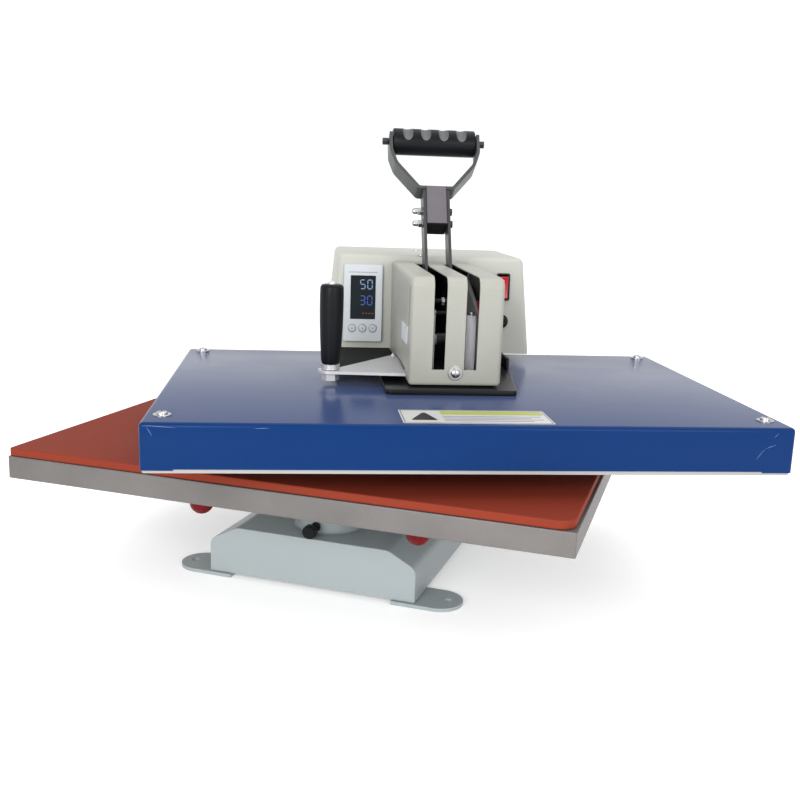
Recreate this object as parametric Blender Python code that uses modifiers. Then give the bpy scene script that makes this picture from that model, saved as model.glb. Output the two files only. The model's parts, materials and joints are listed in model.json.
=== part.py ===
"""Swing-away heat press: a 600 x 400 mm press whose head swings on a rear post.

Units are metres, +Z is up and the table is z = 0.  The base and its lower platen
line up with the axes.  The head is built around its own post axis, facing -Y, and
the empty "head_axis" then swings the whole of it out over the side.
Every moving group hangs on an empty that stands on its joint's axis.
"""
import math

import bmesh
import bpy
from mathutils import Vector

# --- driving dimensions ------------------------------------------------------
GAP = 0.0003              # clearance left between pieces that touch
SHEET = 0.0015            # sheet steel of the covers
PLATEN_W = 0.600          # printing area, width
PLATEN_D = 0.400          # printing area, depth
REACH = 0.281             # post axis to the middle of the lower platen
HEAD_SWING = 24.0         # degrees that the head stands swung out
PRESS_STROKE = 0.0233     # travel of the heat platen down to the pad
PRESS_CLEARANCE = 0.0005  # left above the pad at the end of that travel

BASE_HALF_W = 0.1215
BASE_FRONT = -0.0895
BASE_REAR = 0.350
BASE_TOP = 0.059
BASE_CHAMFER_W = 0.032
BASE_CHAMFER_H = 0.017
FOOT_T = 0.004

COLUMN_R = 0.038
COLUMN_Y = -0.030
CARRIER_TOP = 0.1207
LOWER_PLATEN_Z = 0.121
LOWER_PLATEN_T = 0.024
PAD_T = 0.0084

POST_R = 0.023
POST_TOP = 0.318
HUB_R = 0.039
HUB_BORE = 0.027
HUB_Z = (0.1845, 0.322)

COVER_W = 0.612
COVER_D = 0.416
COVER_Y = -0.2855         # middle of the blue cover, in head coordinates
COVER_Z = (0.1815, 0.2245)
COVER_SHEET = 0.0022     # the enamelled pan is heavier than the hoods
PAD_TOP = LOWER_PLATEN_Z + LOWER_PLATEN_T + GAP + PAD_T
HEAT_PLATEN_LOW = PAD_TOP + PRESS_CLEARANCE + PRESS_STROKE
HEAT_PLATEN_T = 0.018
PLATE_TOP = 0.2325        # top of the black mounting plate

HOUSING_HALF_W = 0.0495
HOUSING_FRONT = -0.344
HOUSING_Z = (0.2335, 0.347)
SLOT_X = 0.0173           # middle of each lever slot
SLOT_W = 0.0125
SLOT_BOTTOM = 0.249
SLOT_REAR = -0.152

BOX_Z = (0.234, 0.354)
BOX_HALF_W = (0.127, 0.1195)      # at the bottom and at the top
BOX_FRONT = (-0.127, -0.117)      # at the bottom and at the top
BOX_REAR = 0.055

SIDE_PLATE_X = 0.0295     # inner face of the frame's side plates
SIDE_PLATE_T = 0.004
FRAME_BASE_TOP = 0.2412
GUIDE_X = 0.0227
GUIDE_Y = -0.300

PIVOT_Y = -0.2207
PIVOT_Z = 0.2592
LEVER_LEAN = 28.0         # degrees that the open lever leans back
BAR_X = 0.0128            # inner face of the lever's side bars
BAR_T = 0.0035
BAR_HALF_D = 0.0125
STEM_SPAN = (0.1495, 0.1935)      # along the lever, from its pivot
GRIP_AT = 0.2648
CRANK_R = 0.0138
CRANK_ANGLE = 93.0        # degrees from the lever's direction, forwards
LINK_FOOT_Z = 0.2455      # where the toggle link's foot rests, under the pivot

HANDLE_X = -0.1305
HANDLE_Y = -0.303
ARM_Z = (0.2375, 0.2405)

SEGMENTS = 32


# --- scene, collections and materials -------------------------------------------
for old in list(bpy.data.objects):
    bpy.data.objects.remove(old)

press_collection = bpy.data.collections.new("heat_press")
cutter_collection = bpy.data.collections.new("cutters")
bpy.context.scene.collection.children.link(press_collection)
bpy.context.scene.collection.children.link(cutter_collection)


def material(name, colour, roughness, metallic=0.0):
    """A Principled BSDF with one colour."""
    mat = bpy.data.materials.new(name)
    mat.use_nodes = True
    shader = mat.node_tree.nodes["Principled BSDF"]
    shader.inputs["Base Color"].default_value = (*colour, 1.0)
    shader.inputs["Roughness"].default_value = roughness
    shader.inputs["Metallic"].default_value = metallic
    return mat


BLUE_PAINT = material("blue_paint", (0.010, 0.055, 0.27), 0.32)
BEIGE_PAINT = material("beige_paint", (0.56, 0.56, 0.50), 0.45)
GREY_PAINT = material("grey_paint", (0.46, 0.51, 0.53), 0.42)
BLACK_PAINT = material("black_paint", (0.012, 0.012, 0.014), 0.35)
ALUMINIUM = material("aluminium", (0.47, 0.47, 0.46), 0.42, 1.0)
SILICONE = material("red_silicone", (0.34, 0.06, 0.035), 0.62)
STEEL = material("bright_steel", (0.62, 0.62, 0.62), 0.28, 1.0)
DARK_STEEL = material("dark_steel", (0.10, 0.10, 0.11), 0.38, 1.0)
BRONZE = material("bronze", (0.45, 0.28, 0.12), 0.40, 1.0)
BLACK_PLASTIC = material("black_plastic", (0.013, 0.013, 0.015), 0.40)
WHITE_PLASTIC = material("white_plastic", (0.74, 0.75, 0.80), 0.40)
DISPLAY = material("display_window", (0.008, 0.010, 0.014), 0.12)
RED_PLASTIC = material("red_plastic", (0.55, 0.02, 0.03), 0.28)
MICA = material("mica_board", (0.60, 0.52, 0.38), 0.80)


def adopt(obj, mat=None, parent=None, cutter=False):
    """File an object under its collection, its parent and its material."""
    target = cutter_collection if cutter else press_collection
    target.objects.link(obj)
    obj.parent = parent
    if mat is not None:
        obj.data.materials.append(mat)
    if cutter:
        obj.hide_render = True
        obj.display_type = "WIRE"
    return obj


def empty(name, location, rotation=(0.0, 0.0, 0.0), parent=None):
    """An empty that carries a group of pieces."""
    obj = bpy.data.objects.new(name, None)
    obj.location = location
    obj.rotation_euler = rotation
    obj.empty_display_size = 0.03
    return adopt(obj, parent=parent)


# --- modelling tools ----------------------------------------------------------------
def box(name, low, high, mat=None, parent=None, cutter=False):
    """A block between two corners."""
    mesh = bpy.data.meshes.new(name)
    bm = bmesh.new()
    bmesh.ops.create_cube(bm, size=1.0)
    size = Vector(high) - Vector(low)
    bmesh.ops.scale(bm, vec=size, verts=bm.verts)
    bm.to_mesh(mesh)
    bm.free()
    obj = bpy.data.objects.new(name, mesh)
    obj.location = (Vector(low) + Vector(high)) / 2
    return adopt(obj, mat, parent, cutter)


def turned(name, profile, mat=None, parent=None, location=(0, 0, 0), axis="Z",
           segments=SEGMENTS, ring=False, cutter=False):
    """A turned piece: (radius, height) points run down the outer side.

    A ring's profile is a closed loop that goes on up its bore.  Heights run along
    +Z, or along +X or -Y when the axis says so.
    """
    mesh = bpy.data.meshes.new(name)
    points = [(radius, 0.0, height) for radius, height in profile]
    edges = [(i, i + 1) for i in range(len(points) - 1)]
    if ring:
        edges.append((len(points) - 1, 0))
    mesh.from_pydata(points, edges, [])
    obj = bpy.data.objects.new(name, mesh)
    screw = obj.modifiers.new("turn", "SCREW")
    screw.steps = segments
    screw.render_steps = segments
    screw.use_merge_vertices = True
    screw.merge_threshold = 0.00001
    weld = obj.modifiers.new("weld", "WELD")
    weld.merge_threshold = 0.00001
    obj.location = location
    turns = {"Z": (0, 0, 0), "X": (0, math.pi / 2, 0), "-Y": (math.pi / 2, 0, 0)}
    obj.rotation_euler = turns[axis]
    return adopt(obj, mat, parent, cutter)


def rod(name, radius, start, end, mat=None, parent=None, location=(0, 0, 0), axis="Z",
        segments=SEGMENTS, cutter=False):
    """A plain round rod between two heights."""
    profile = [(0, end), (radius, end), (radius, start), (0, start)]
    return turned(name, profile, mat, parent, location, axis, segments, cutter=cutter)


def tube(name, outer, bore, start, end, mat=None, parent=None, location=(0, 0, 0), axis="Z"):
    """A plain round tube between two heights."""
    profile = [(outer, end), (outer, start), (bore, start), (bore, end)]
    return turned(name, profile, mat, parent, location, axis, ring=True)


def arc(centre, radius, start, end, steps):
    """Points on an arc, angles in degrees, both ends included."""
    angles = [math.radians(start + (end - start) * i / steps) for i in range(steps + 1)]
    return [(centre[0] + radius * math.cos(a), centre[1] + radius * math.sin(a)) for a in angles]


def circle(centre, radius, steps=24):
    """Points round a circle."""
    return arc(centre, radius, 0, 360, steps)[:-1]


def rounded_rectangle(low, high, radius, steps=4):
    """A rectangle's outline with round corners."""
    points = []
    corners = [(high[0] - radius, high[1] - radius, 0), (low[0] + radius, high[1] - radius, 90),
               (low[0] + radius, low[1] + radius, 180), (high[0] - radius, low[1] + radius, 270)]
    for x, y, start in corners:
        points += arc((x, y), radius, start, start + 90, steps)
    return points


PLANES = {
    "XY": (0, 0, 0),                            # outline in X and Y, thickness along +Z
    "XZ": (math.pi / 2, 0, 0),                  # outline in X and Z, thickness along -Y
    "YZ": (math.pi / 2, 0, math.pi / 2),        # outline in Y and Z, thickness along +X
}


def plate(name, outlines, start, end, plane="XY", mat=None, parent=None, cutter=False):
    """A flat piece from its outline, with further outlines as holes.

    start and end are where the piece begins and stops across its plane, measured
    along the plane's thickness direction.
    """
    curve = bpy.data.curves.new(name, "CURVE")
    curve.dimensions = "2D"
    curve.fill_mode = "BOTH"
    curve.extrude = (end - start) / 2
    for outline in outlines:
        spline = curve.splines.new("POLY")
        spline.points.add(len(outline) - 1)
        for point, (u, v) in zip(spline.points, outline):
            point.co = (u, v, 0.0, 1.0)
        spline.use_cyclic_u = True
    flat = bpy.data.objects.new(name + "_outline", curve)
    bpy.context.scene.collection.objects.link(flat)
    bpy.context.view_layer.update()
    evaluated = flat.evaluated_get(bpy.context.evaluated_depsgraph_get())
    mesh = bpy.data.meshes.new_from_object(evaluated)
    mesh.name = name
    bm = bmesh.new()
    bm.from_mesh(mesh)
    bmesh.ops.remove_doubles(bm, verts=bm.verts, dist=0.00001)
    bmesh.ops.translate(bm, vec=(0, 0, (start + end) / 2), verts=bm.verts)
    bm.to_mesh(mesh)
    bm.free()
    bpy.data.objects.remove(flat)
    obj = bpy.data.objects.new(name, mesh)
    obj.rotation_euler = PLANES[plane]
    return adopt(obj, mat, parent, cutter)


def cut(obj, cutter, solver="EXACT"):
    """Take a cutter's shape out of an object."""
    boolean = obj.modifiers.new("cut_" + cutter.name, "BOOLEAN")
    boolean.operation = "DIFFERENCE"
    boolean.object = cutter
    boolean.solver = solver


def round_edges(obj, width, segments=2, angle=40.0):
    """Round an object's sharp edges."""
    bevel = obj.modifiers.new("round", "BEVEL")
    bevel.width = width
    bevel.segments = segments
    bevel.limit_method = "ANGLE"
    bevel.angle_limit = math.radians(angle)


def inset(outline, distance):
    """A convex counter-clockwise outline moved inwards by a distance."""
    points = [Vector(point) for point in outline]
    moved = []
    for i, here in enumerate(points):
        before = (here - points[i - 1]).normalized()
        after = (points[(i + 1) % len(points)] - here).normalized()
        normal_before = Vector((-before.y, before.x))
        normal_after = Vector((-after.y, after.x))
        middle = (normal_before + normal_after).normalized()
        moved.append(tuple(here + middle * (distance / middle.dot(normal_before))))
    return moved


# --- base ------------------------------------------------------------------------------
def make_base(root):
    """The folded base box, its four bolt-down feet and the column for the platen."""
    chamfer_z = BASE_TOP - BASE_CHAMFER_H
    chamfer_x = BASE_HALF_W - BASE_CHAMFER_W
    bottom = FOOT_T + GAP
    outline = [(-BASE_HALF_W, bottom), (BASE_HALF_W, bottom), (BASE_HALF_W, chamfer_z),
               (chamfer_x, BASE_TOP), (-chamfer_x, BASE_TOP), (-BASE_HALF_W, chamfer_z)]
    shell = plate("base_shell", [outline], -BASE_REAR, -BASE_FRONT, "XZ", GREY_PAINT, root)
    wall = 0.002
    hollow = inset(outline, wall)
    hollow[0] = (hollow[0][0], -0.01)
    hollow[1] = (hollow[1][0], -0.01)
    cut(shell, plate("base_hollow", [hollow], -BASE_REAR + wall, -BASE_FRONT - wall, "XZ",
                     parent=root, cutter=True))
    make_feet(root)
    make_column(root)


def make_feet(root):
    """Four foot plates with round ends and one bolt hole each."""
    half_w = 0.026
    inner = 0.095
    outer = 0.168
    hole = (0.153, 0.0)
    places = {"foot_plate_front_right": (-0.0665, 0), "foot_plate_front_left": (-0.0665, 180),
              "foot_plate_rear_right": (0.312, 0), "foot_plate_rear_left": (0.312, 180)}
    outline = [(inner, -half_w)] + arc((outer - half_w, 0), half_w, -90, 90, 12) + [(inner, half_w)]
    for name, (y, turn) in places.items():
        foot = plate(name, [outline, circle(hole, 0.0045, 16)], 0, FOOT_T, "XY", GREY_PAINT, root)
        foot.location.y = y
        foot.rotation_euler.z = math.radians(turn)


def make_column(root):
    """The column, its platen carrier, the lower platen and its silicone pad."""
    centre = (0, COLUMN_Y, 0)
    low = BASE_TOP + GAP
    top = CARRIER_TOP - 0.004 - GAP
    column = turned("platen_column", [(0, top), (COLUMN_R - 0.002, top), (COLUMN_R, top - 0.002),
                                      (COLUMN_R, low + 0.003), (COLUMN_R + 0.003, low), (0, low)],
                    GREY_PAINT, root, centre)
    knob_z = BASE_TOP + 0.0085
    cut(column, rod("knob_hole", 0.0034, -0.08, -0.05 + COLUMN_R, parent=root, axis="-Y",
                    location=(0, COLUMN_Y - COLUMN_R - 0.03, knob_z), segments=16, cutter=True))
    knob_axis = empty("lock_knob_axis", (0, COLUMN_Y - COLUMN_R, knob_z), parent=root)
    turned("platen_lock_knob",
           [(0, 0.0265), (0.0068, 0.0265), (0.0077, 0.0255), (0.0077, 0.018), (0.0062, 0.017),
            (0.0030, 0.0165), (0.0030, 0.0062), (0.0052, 0.0055), (0.0052, 0.0042),
            (0.0030, 0.0038), (0.0030, -0.012), (0, -0.012)],
           BLACK_PLASTIC, knob_axis, axis="-Y", segments=24)

    knob_x = 0.126
    knob_y = -0.100
    corner = 0.020
    carrier_half = (0.150, 0.120)
    outline = rounded_rectangle((-carrier_half[0], -carrier_half[1]), carrier_half, corner)
    holes = [circle((side * knob_x, knob_y), 0.0043, 16) for side in (-1, 1)]
    plate("platen_carrier", [outline] + holes, CARRIER_TOP - 0.004, CARRIER_TOP, "XY",
          GREY_PAINT, root)
    for side, name in ((-1, "left"), (1, "right")):
        axis = empty("clamp_axis_" + name, (side * knob_x, knob_y, 0.088), parent=root)
        dome = [(0.0135 * math.cos(math.radians(a)), 0.0135 * math.sin(math.radians(a)))
                for a in range(0, -91, -15)]
        profile = [(0, 0.0322), (0.0036, 0.0322), (0.0036, 0.026), (0.009, 0.026), (0.009, 0.014),
                   (0.0120, 0.012), (0.0135, 0.008)] + dome[:-1] + [(0, -0.0135)]
        turned("clamp_knob_" + name, profile, RED_PLASTIC, axis, segments=24)

    half = (PLATEN_W / 2, PLATEN_D / 2)
    low_z = LOWER_PLATEN_Z
    platen = box("lower_platen", (-half[0], -half[1], low_z),
                 (half[0], half[1], low_z + LOWER_PLATEN_T), ALUMINIUM, root)
    round_edges(platen, 0.0012)
    pad_outline = rounded_rectangle((-half[0] + 0.001, -half[1] + 0.001),
                                    (half[0] - 0.006, half[1] - 0.001), 0.008)
    pad = plate("silicone_pad", [pad_outline], PAD_TOP - PAD_T, PAD_TOP, "XY", SILICONE, root)
    round_edges(pad, 0.001)


def make_post(root):
    """The flange, the post that the head swings on, and the collar that carries it."""
    centre = (0, REACH, 0)
    low = BASE_TOP + GAP
    bore = POST_R + GAP
    turned("post_flange", [(0.035, 0.090), (0.035, low + 0.010), (0.058, low + 0.008),
                           (0.058, low), (bore, low), (bore, 0.090)],
           GREY_PAINT, root, centre, ring=True)
    turned("swing_post", [(0, POST_TOP), (POST_R - 0.002, POST_TOP), (POST_R, POST_TOP - 0.002),
                          (POST_R, low), (0, low)], STEEL, root, centre)
    tube("post_collar", 0.033, bore, 0.166, HUB_Z[0] - GAP, DARK_STEEL, root, centre)


# --- swinging head: frame and covers ----------------------------------------------------------
def make_hub(head):
    """The hub tube with its two bushes."""
    turned("swing_hub", [(HUB_R - 0.002, HUB_Z[1]), (HUB_R, HUB_Z[1] - 0.002),
                         (HUB_R, HUB_Z[0] + 0.002), (HUB_R - 0.002, HUB_Z[0]),
                         (HUB_BORE, HUB_Z[0]), (HUB_BORE, HUB_Z[1])], BLACK_PAINT, head, ring=True)
    length = 0.025
    spans = {"hub_bush_lower": (HUB_Z[0] + GAP, HUB_Z[0] + length),
             "hub_bush_upper": (HUB_Z[1] - length, HUB_Z[1] - GAP)}
    for name, (start, end) in spans.items():
        tube(name, HUB_BORE - GAP, POST_R + GAP, start, end, BRONZE, head)


def make_frame(head):
    """Two side plates, the cross plate under them, the pivot pins and the guide sleeves."""
    side_outline = [(-0.335, 0.2365), (-0.0265, 0.2365), (-0.0265, 0.333), (-0.213, 0.333),
                    (-0.335, 0.2915)]
    pivot_hole = circle((PIVOT_Y, PIVOT_Z), 0.0063, 20)
    for side, name in ((-1, "left"), (1, "right")):
        near = SIDE_PLATE_X if side > 0 else -SIDE_PLATE_X - SIDE_PLATE_T
        plate("frame_side_" + name, [side_outline, pivot_hole], near, near + SIDE_PLATE_T, "YZ",
              BLACK_PAINT, head)
        pin = [(0, 0.040), (0.0085, 0.040), (0.0085, 0.034), (0.0060, 0.034), (0.0060, 0.0124),
               (0, 0.0124)]
        pivot_pin = turned("lever_pivot_pin_" + name, pin, STEEL, head,
                           (0, PIVOT_Y, PIVOT_Z), "X", 24)
        pivot_pin.rotation_euler.y = side * math.pi / 2
        tube("guide_sleeve_" + name, 0.0055, 0.0039, FRAME_BASE_TOP + GAP, 0.302, STEEL, head,
             (side * GUIDE_X, GUIDE_Y, 0))

    half_w = SIDE_PLATE_X - GAP
    window = rounded_rectangle((-0.0165, PIVOT_Y - 0.0175), (0.0165, PIVOT_Y + 0.0175), 0.003, 3)
    guide_holes = [circle((side * GUIDE_X, GUIDE_Y), 0.0041, 16) for side in (-1, 1)]
    base_outline = [(-half_w, -0.330), (half_w, -0.330), (half_w, -0.042), (-half_w, -0.042)]
    plate("frame_cross_plate", [base_outline, window] + guide_holes, 0.2365, FRAME_BASE_TOP, "XY",
          BLACK_PAINT, head)


def housing_profile(front, top, bottom, rear_bottom, rear_top, bend):
    """Side outline of the mechanism cover, with its bend between front and top."""
    corner = arc((front + bend, top - bend), bend, 180, 90, 5)
    return [(front, bottom)] + corner + [(rear_top, top), (rear_bottom, bottom)]


def make_housing(head):
    """The mechanism cover: a folded hood with two slots for the lever, and its screw."""
    bend = 0.012
    rear = (BOX_FRONT[0] - 0.0005, BOX_FRONT[1] - 0.0012)
    outer = housing_profile(HOUSING_FRONT, HOUSING_Z[1], HOUSING_Z[0], rear[0], rear[1], bend)
    hood = plate("mechanism_cover", [outer], -HOUSING_HALF_W, HOUSING_HALF_W, "YZ",
                 BEIGE_PAINT, head)
    round_edges(hood, 0.0035, 2)
    inner = housing_profile(HOUSING_FRONT + SHEET, HOUSING_Z[1] - SHEET, HOUSING_Z[0] - 0.01,
                            rear[0] + 0.02, rear[1] + 0.02, bend - SHEET)
    half_w = HOUSING_HALF_W - SHEET
    hollow = plate("housing_hollow", [inner], -half_w, half_w, "YZ", parent=head, cutter=True)
    round_edges(hollow, 0.002, 1)
    cut(hood, hollow)
    for side in (-1, 1):
        middle = side * SLOT_X
        cut(hood, box("lever_slot", (middle - SLOT_W / 2, HOUSING_FRONT - 0.01, SLOT_BOTTOM),
                      (middle + SLOT_W / 2, SLOT_REAR, HOUSING_Z[1] + 0.01),
                      parent=head, cutter=True))
    cut(hood, box("side_slot", (-HOUSING_HALF_W - 0.005, -0.328, 0.296),
                  (-HOUSING_HALF_W + 0.005, -0.3225, 0.336), parent=head, cutter=True))
    turned("housing_screw", [(0, 0.0055), (0.0026, 0.0050), (0.0044, 0.0034), (0.0050, 0.0013),
                             (0.0078, 0.0012), (0.0078, GAP), (0, GAP)],
           STEEL, head, (0, HOUSING_FRONT, 0.246), "-Y", 24)


def tapered_box(name, half_w, y_front, y_rear, z, mat=None, parent=None, cutter=False):
    """A block whose top is narrower and whose front leans back: (bottom, top) pairs."""
    obj = box(name, (-1, -1, 0), (1, 1, 1), mat, parent, cutter)
    obj.location = (0, 0, 0)
    for vertex in obj.data.vertices:
        level = 1 if vertex.co.z > 0 else 0
        vertex.co.x = math.copysign(half_w[level], vertex.co.x)
        vertex.co.y = y_front[level] if vertex.co.y < 0 else y_rear
        vertex.co.z = z[level]
    return obj


def make_control_box(head, face):
    """The control box: its hood, its floor plate and what is fitted in its front."""
    shell = tapered_box("control_box_shell", BOX_HALF_W, BOX_FRONT, BOX_REAR, BOX_Z,
                        BEIGE_PAINT, head)
    round_edges(shell, 0.006, 2)
    hollow = tapered_box("control_box_hollow", [w - SHEET for w in BOX_HALF_W],
                         [y + SHEET for y in BOX_FRONT], BOX_REAR - SHEET,
                         (BOX_Z[0] - 0.01, BOX_Z[1] - SHEET), parent=head, cutter=True)
    round_edges(hollow, 0.0045, 1)
    cut(shell, hollow)
    cut(shell, box("control_box_mouth", (-0.048, -0.15, 0.22), (0.048, -0.10, 0.3435),
                   parent=head, cutter=True))

    hub_clear = HUB_R + 0.0015
    reach_in = arc((0, 0), hub_clear, 180, 0, 16)
    half_w = BOX_HALF_W[0] - SHEET - 0.001
    front = BOX_FRONT[0] + SHEET + 0.001
    rear = BOX_REAR - SHEET - 0.001
    corner = 0.006
    floor = [(-half_w, front + corner), (-half_w + corner, front), (-hub_clear, front)] + reach_in
    floor += [(hub_clear, front), (half_w - corner, front), (half_w, front + corner),
              (half_w, rear - corner), (half_w - corner, rear), (-half_w + corner, rear),
              (-half_w, rear - corner)]
    plate("control_box_floor", [floor], 0.2344, 0.2356, "XY", BLACK_PAINT, head)

    make_controller(face)
    make_switch_and_fuse(shell, face)
    turned("cable_gland", [(0, 0.022), (0.0045, 0.022), (0.0065, 0.017), (0.0075, 0.009),
                           (0.0075, 0.005), (0.0110, 0.004), (0.0110, GAP), (0, GAP)],
           BLACK_PLASTIC, head, (0.080, BOX_REAR, 0.262), "-Y", 20).rotation_euler.z = math.pi


def make_controller(face):
    """The temperature and time controller: bezel, display and three buttons."""
    centre_x = -0.0852
    low = 0.0115
    size = (0.048, 0.096)
    outline = rounded_rectangle((centre_x - size[0] / 2, low),
                                (centre_x + size[0] / 2, low + size[1]), 0.0025)
    window_low = (centre_x - 0.0158, low + 0.0278)
    window_high = (centre_x + 0.0158, low + 0.0824)
    window = rounded_rectangle(window_low, window_high, 0.0008, 2)
    pitch = 0.0130
    button_v = low + 0.0163
    button_r = 0.0048
    holes = [circle((centre_x + i * pitch, button_v), button_r + 0.0004, 20) for i in (-1, 0, 1)]
    thickness = 0.0040
    bezel = plate("controller_bezel", [outline, window] + holes, GAP, GAP + thickness, "XZ",
                  WHITE_PLASTIC, face)
    round_edges(bezel, 0.0004, 1)
    glass = rounded_rectangle((window_low[0] + GAP, window_low[1] + GAP),
                              (window_high[0] - GAP, window_high[1] - GAP), 0.0006, 2)
    plate("display_window", [glass], 0.0010, 0.0033, "XZ", DISPLAY, face)
    for i, name in ((-1, "set_button"), (0, "down_button"), (1, "up_button")):
        axis = empty(name + "_axis", (centre_x + i * pitch, 0, button_v), parent=face)
        turned(name, [(0, 0.0052), (button_r - 0.0008, 0.0052), (button_r, 0.0045),
                      (button_r, 0.0016), (0, 0.0016)], WHITE_PLASTIC, axis, axis="-Y", segments=24)


def make_switch_and_fuse(shell, face):
    """The lit rocker switch in its frame, and the fuse holder with its cap."""
    centre = (0.0900, 0.0838)
    half = (0.0120, 0.0172)
    window = (0.0098, 0.0148)
    hole = (0.0101, 0.0151)
    outline = rounded_rectangle((centre[0] - half[0], centre[1] - half[1]),
                                (centre[0] + half[0], centre[1] + half[1]), 0.002, 3)
    opening = rounded_rectangle((centre[0] - window[0], centre[1] - window[1]),
                                (centre[0] + window[0], centre[1] + window[1]), 0.001, 2)
    plate("power_switch_frame", [outline, opening], GAP, 0.0026, "XZ", BLACK_PLASTIC, face)
    cut(shell, box("switch_hole", (centre[0] - hole[0], -0.01, centre[1] - hole[1]),
                   (centre[0] + hole[0], 0.01, centre[1] + hole[1]), parent=face, cutter=True))
    rocker_axis = empty("rocker_axis", (centre[0], 0.003, centre[1]),
                        (math.radians(7), 0, 0), parent=face)
    reach = 0.0138
    rocker = [(0.0020, -0.009), (0.0020, 0.009), (-0.0040, reach), (-0.0078, reach),
              (-0.0062, 0.0), (-0.0078, -reach), (-0.0040, -reach)]
    plate("power_rocker", [rocker], -0.0092, 0.0092, "YZ", RED_PLASTIC, rocker_axis)

    fuse = (0.0925, 0.0400)
    fuse_axis = empty("fuse_axis", (fuse[0], 0, fuse[1]), parent=face)
    tube("fuse_holder", 0.0090, 0.0065, GAP, 0.0030, BLACK_PLASTIC, fuse_axis, axis="-Y")
    cut(shell, rod("fuse_hole", 0.0068, -0.01, 0.01, parent=fuse_axis, axis="-Y", segments=24,
                   cutter=True))
    cap = turned("fuse_cap", [(0, 0.0085), (0.0050, 0.0085), (0.0061, 0.0074), (0.0061, -0.006),
                              (0, -0.006)], BLACK_PLASTIC, fuse_axis, axis="-Y", segments=24)
    cut(cap, box("fuse_cap_slot", (-0.004, -0.012, -0.0007), (0.004, -0.0072, 0.0007),
                 parent=fuse_axis, cutter=True))


def make_side_handle(head):
    """The swing handle: its arm, ferrule, spindle and turning grip."""
    tip = (HANDLE_X, HANDLE_Y)
    root_x = -HOUSING_HALF_W - 0.0005
    outline = [(root_x, -0.322), (root_x, -0.195)] + arc(tip, 0.0135, 52, 270, 14)
    plate("handle_arm", [outline, circle(tip, 0.0043, 20)], ARM_Z[0], ARM_Z[1], "XY", STEEL, head)
    grip_axis = empty("grip_axis", (HANDLE_X, HANDLE_Y, 0), parent=head)
    ferrule = (ARM_Z[1] + GAP, 0.2468)
    tube("handle_ferrule", 0.0100, 0.0043, ferrule[0], ferrule[1], STEEL, grip_axis)
    grip = (ferrule[1] + GAP, 0.333)
    turned("handle_spindle", [(0, grip[1] + 0.0035), (0.0030, grip[1] + 0.0032),
                              (0.0048, grip[1] + 0.0018), (0.0048, grip[1] + GAP),
                              (0.0040, grip[1] + GAP), (0.0040, ARM_Z[0] - GAP),
                              (0.0053, ARM_Z[0] - GAP), (0.0053, 0.2275), (0, 0.2275)],
           STEEL, grip_axis, segments=24)
    turned("handle_grip", [(0.0100, grip[1]), (0.0125, grip[1] - 0.003), (0.0128, grip[1] - 0.012),
                           (0.0126, 0.290), (0.0113, 0.262), (0.0104, 0.250), (0.0092, grip[0]),
                           (0.0043, grip[0]), (0.0043, grip[1])],
           BLACK_PLASTIC, grip_axis, segments=28, ring=True)


# --- lever ---------------------------------------------------------------------------------------
def make_lever(lever):
    """The lever, built along its own +Z from the pivot: bars, stem, bracket and grip."""
    crank = math.radians(CRANK_ANGLE)
    crank_at = (-CRANK_R * math.sin(crank), CRANK_R * math.cos(crank))
    hub = arc((0, 0), 0.020, 145, 395, 20)
    outline = hub + [(BAR_HALF_D, 0.050), (BAR_HALF_D, STEM_SPAN[1]), (-BAR_HALF_D, STEM_SPAN[1]),
                     (-BAR_HALF_D, 0.050)]
    bolts = {"stem_bolt_lower": 0.1565, "stem_bolt_upper": 0.1700}
    holes = [circle((0, 0), 0.0063, 20), circle(crank_at, 0.0043, 16)]
    holes += [circle((0, along), 0.0033, 12) for along in bolts.values()]
    for side, name in ((-1, "left"), (1, "right")):
        near = BAR_X if side > 0 else -BAR_X - BAR_T
        plate("lever_bar_" + name, [outline] + holes, near, near + BAR_T, "YZ", DARK_STEEL, lever)
    rod("crank_pin", 0.0040, -BAR_X - BAR_T, BAR_X + BAR_T, STEEL, lever,
        (0, crank_at[0], crank_at[1]), "X", 20)

    half = BAR_X - GAP
    wall = 0.002
    outer = rounded_rectangle((-half, -BAR_HALF_D), (half, BAR_HALF_D), 0.002, 2)
    inner = rounded_rectangle((-half + wall, -BAR_HALF_D + wall), (half - wall, BAR_HALF_D - wall),
                              0.001, 2)
    stem = plate("lever_stem", [outer, inner], STEM_SPAN[0], STEM_SPAN[1], "XY", DARK_STEEL, lever)
    outside = BAR_X + BAR_T + GAP
    for name, along in bolts.items():
        cut(stem, rod(name + "_hole", 0.0033, -0.03, 0.03, parent=lever, location=(0, 0, along),
                      axis="X", segments=12, cutter=True), "MANIFOLD")
        profile = [(0, outside + 0.0038), (0.0036, outside + 0.0038), (0.0045, outside + 0.0028),
                   (0.0045, outside), (0.0030, outside), (0.0030, -outside), (0.0052, -outside),
                   (0.0052, -outside - 0.0045), (0.0038, -outside - 0.0062),
                   (0.0036, -outside - 0.0110), (0.0022, -outside - 0.0125),
                   (0, -outside - 0.0128)]
        turned(name, profile, STEEL, lever, (0, 0, along), "X", 16)
    make_d_handle(lever)


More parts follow.
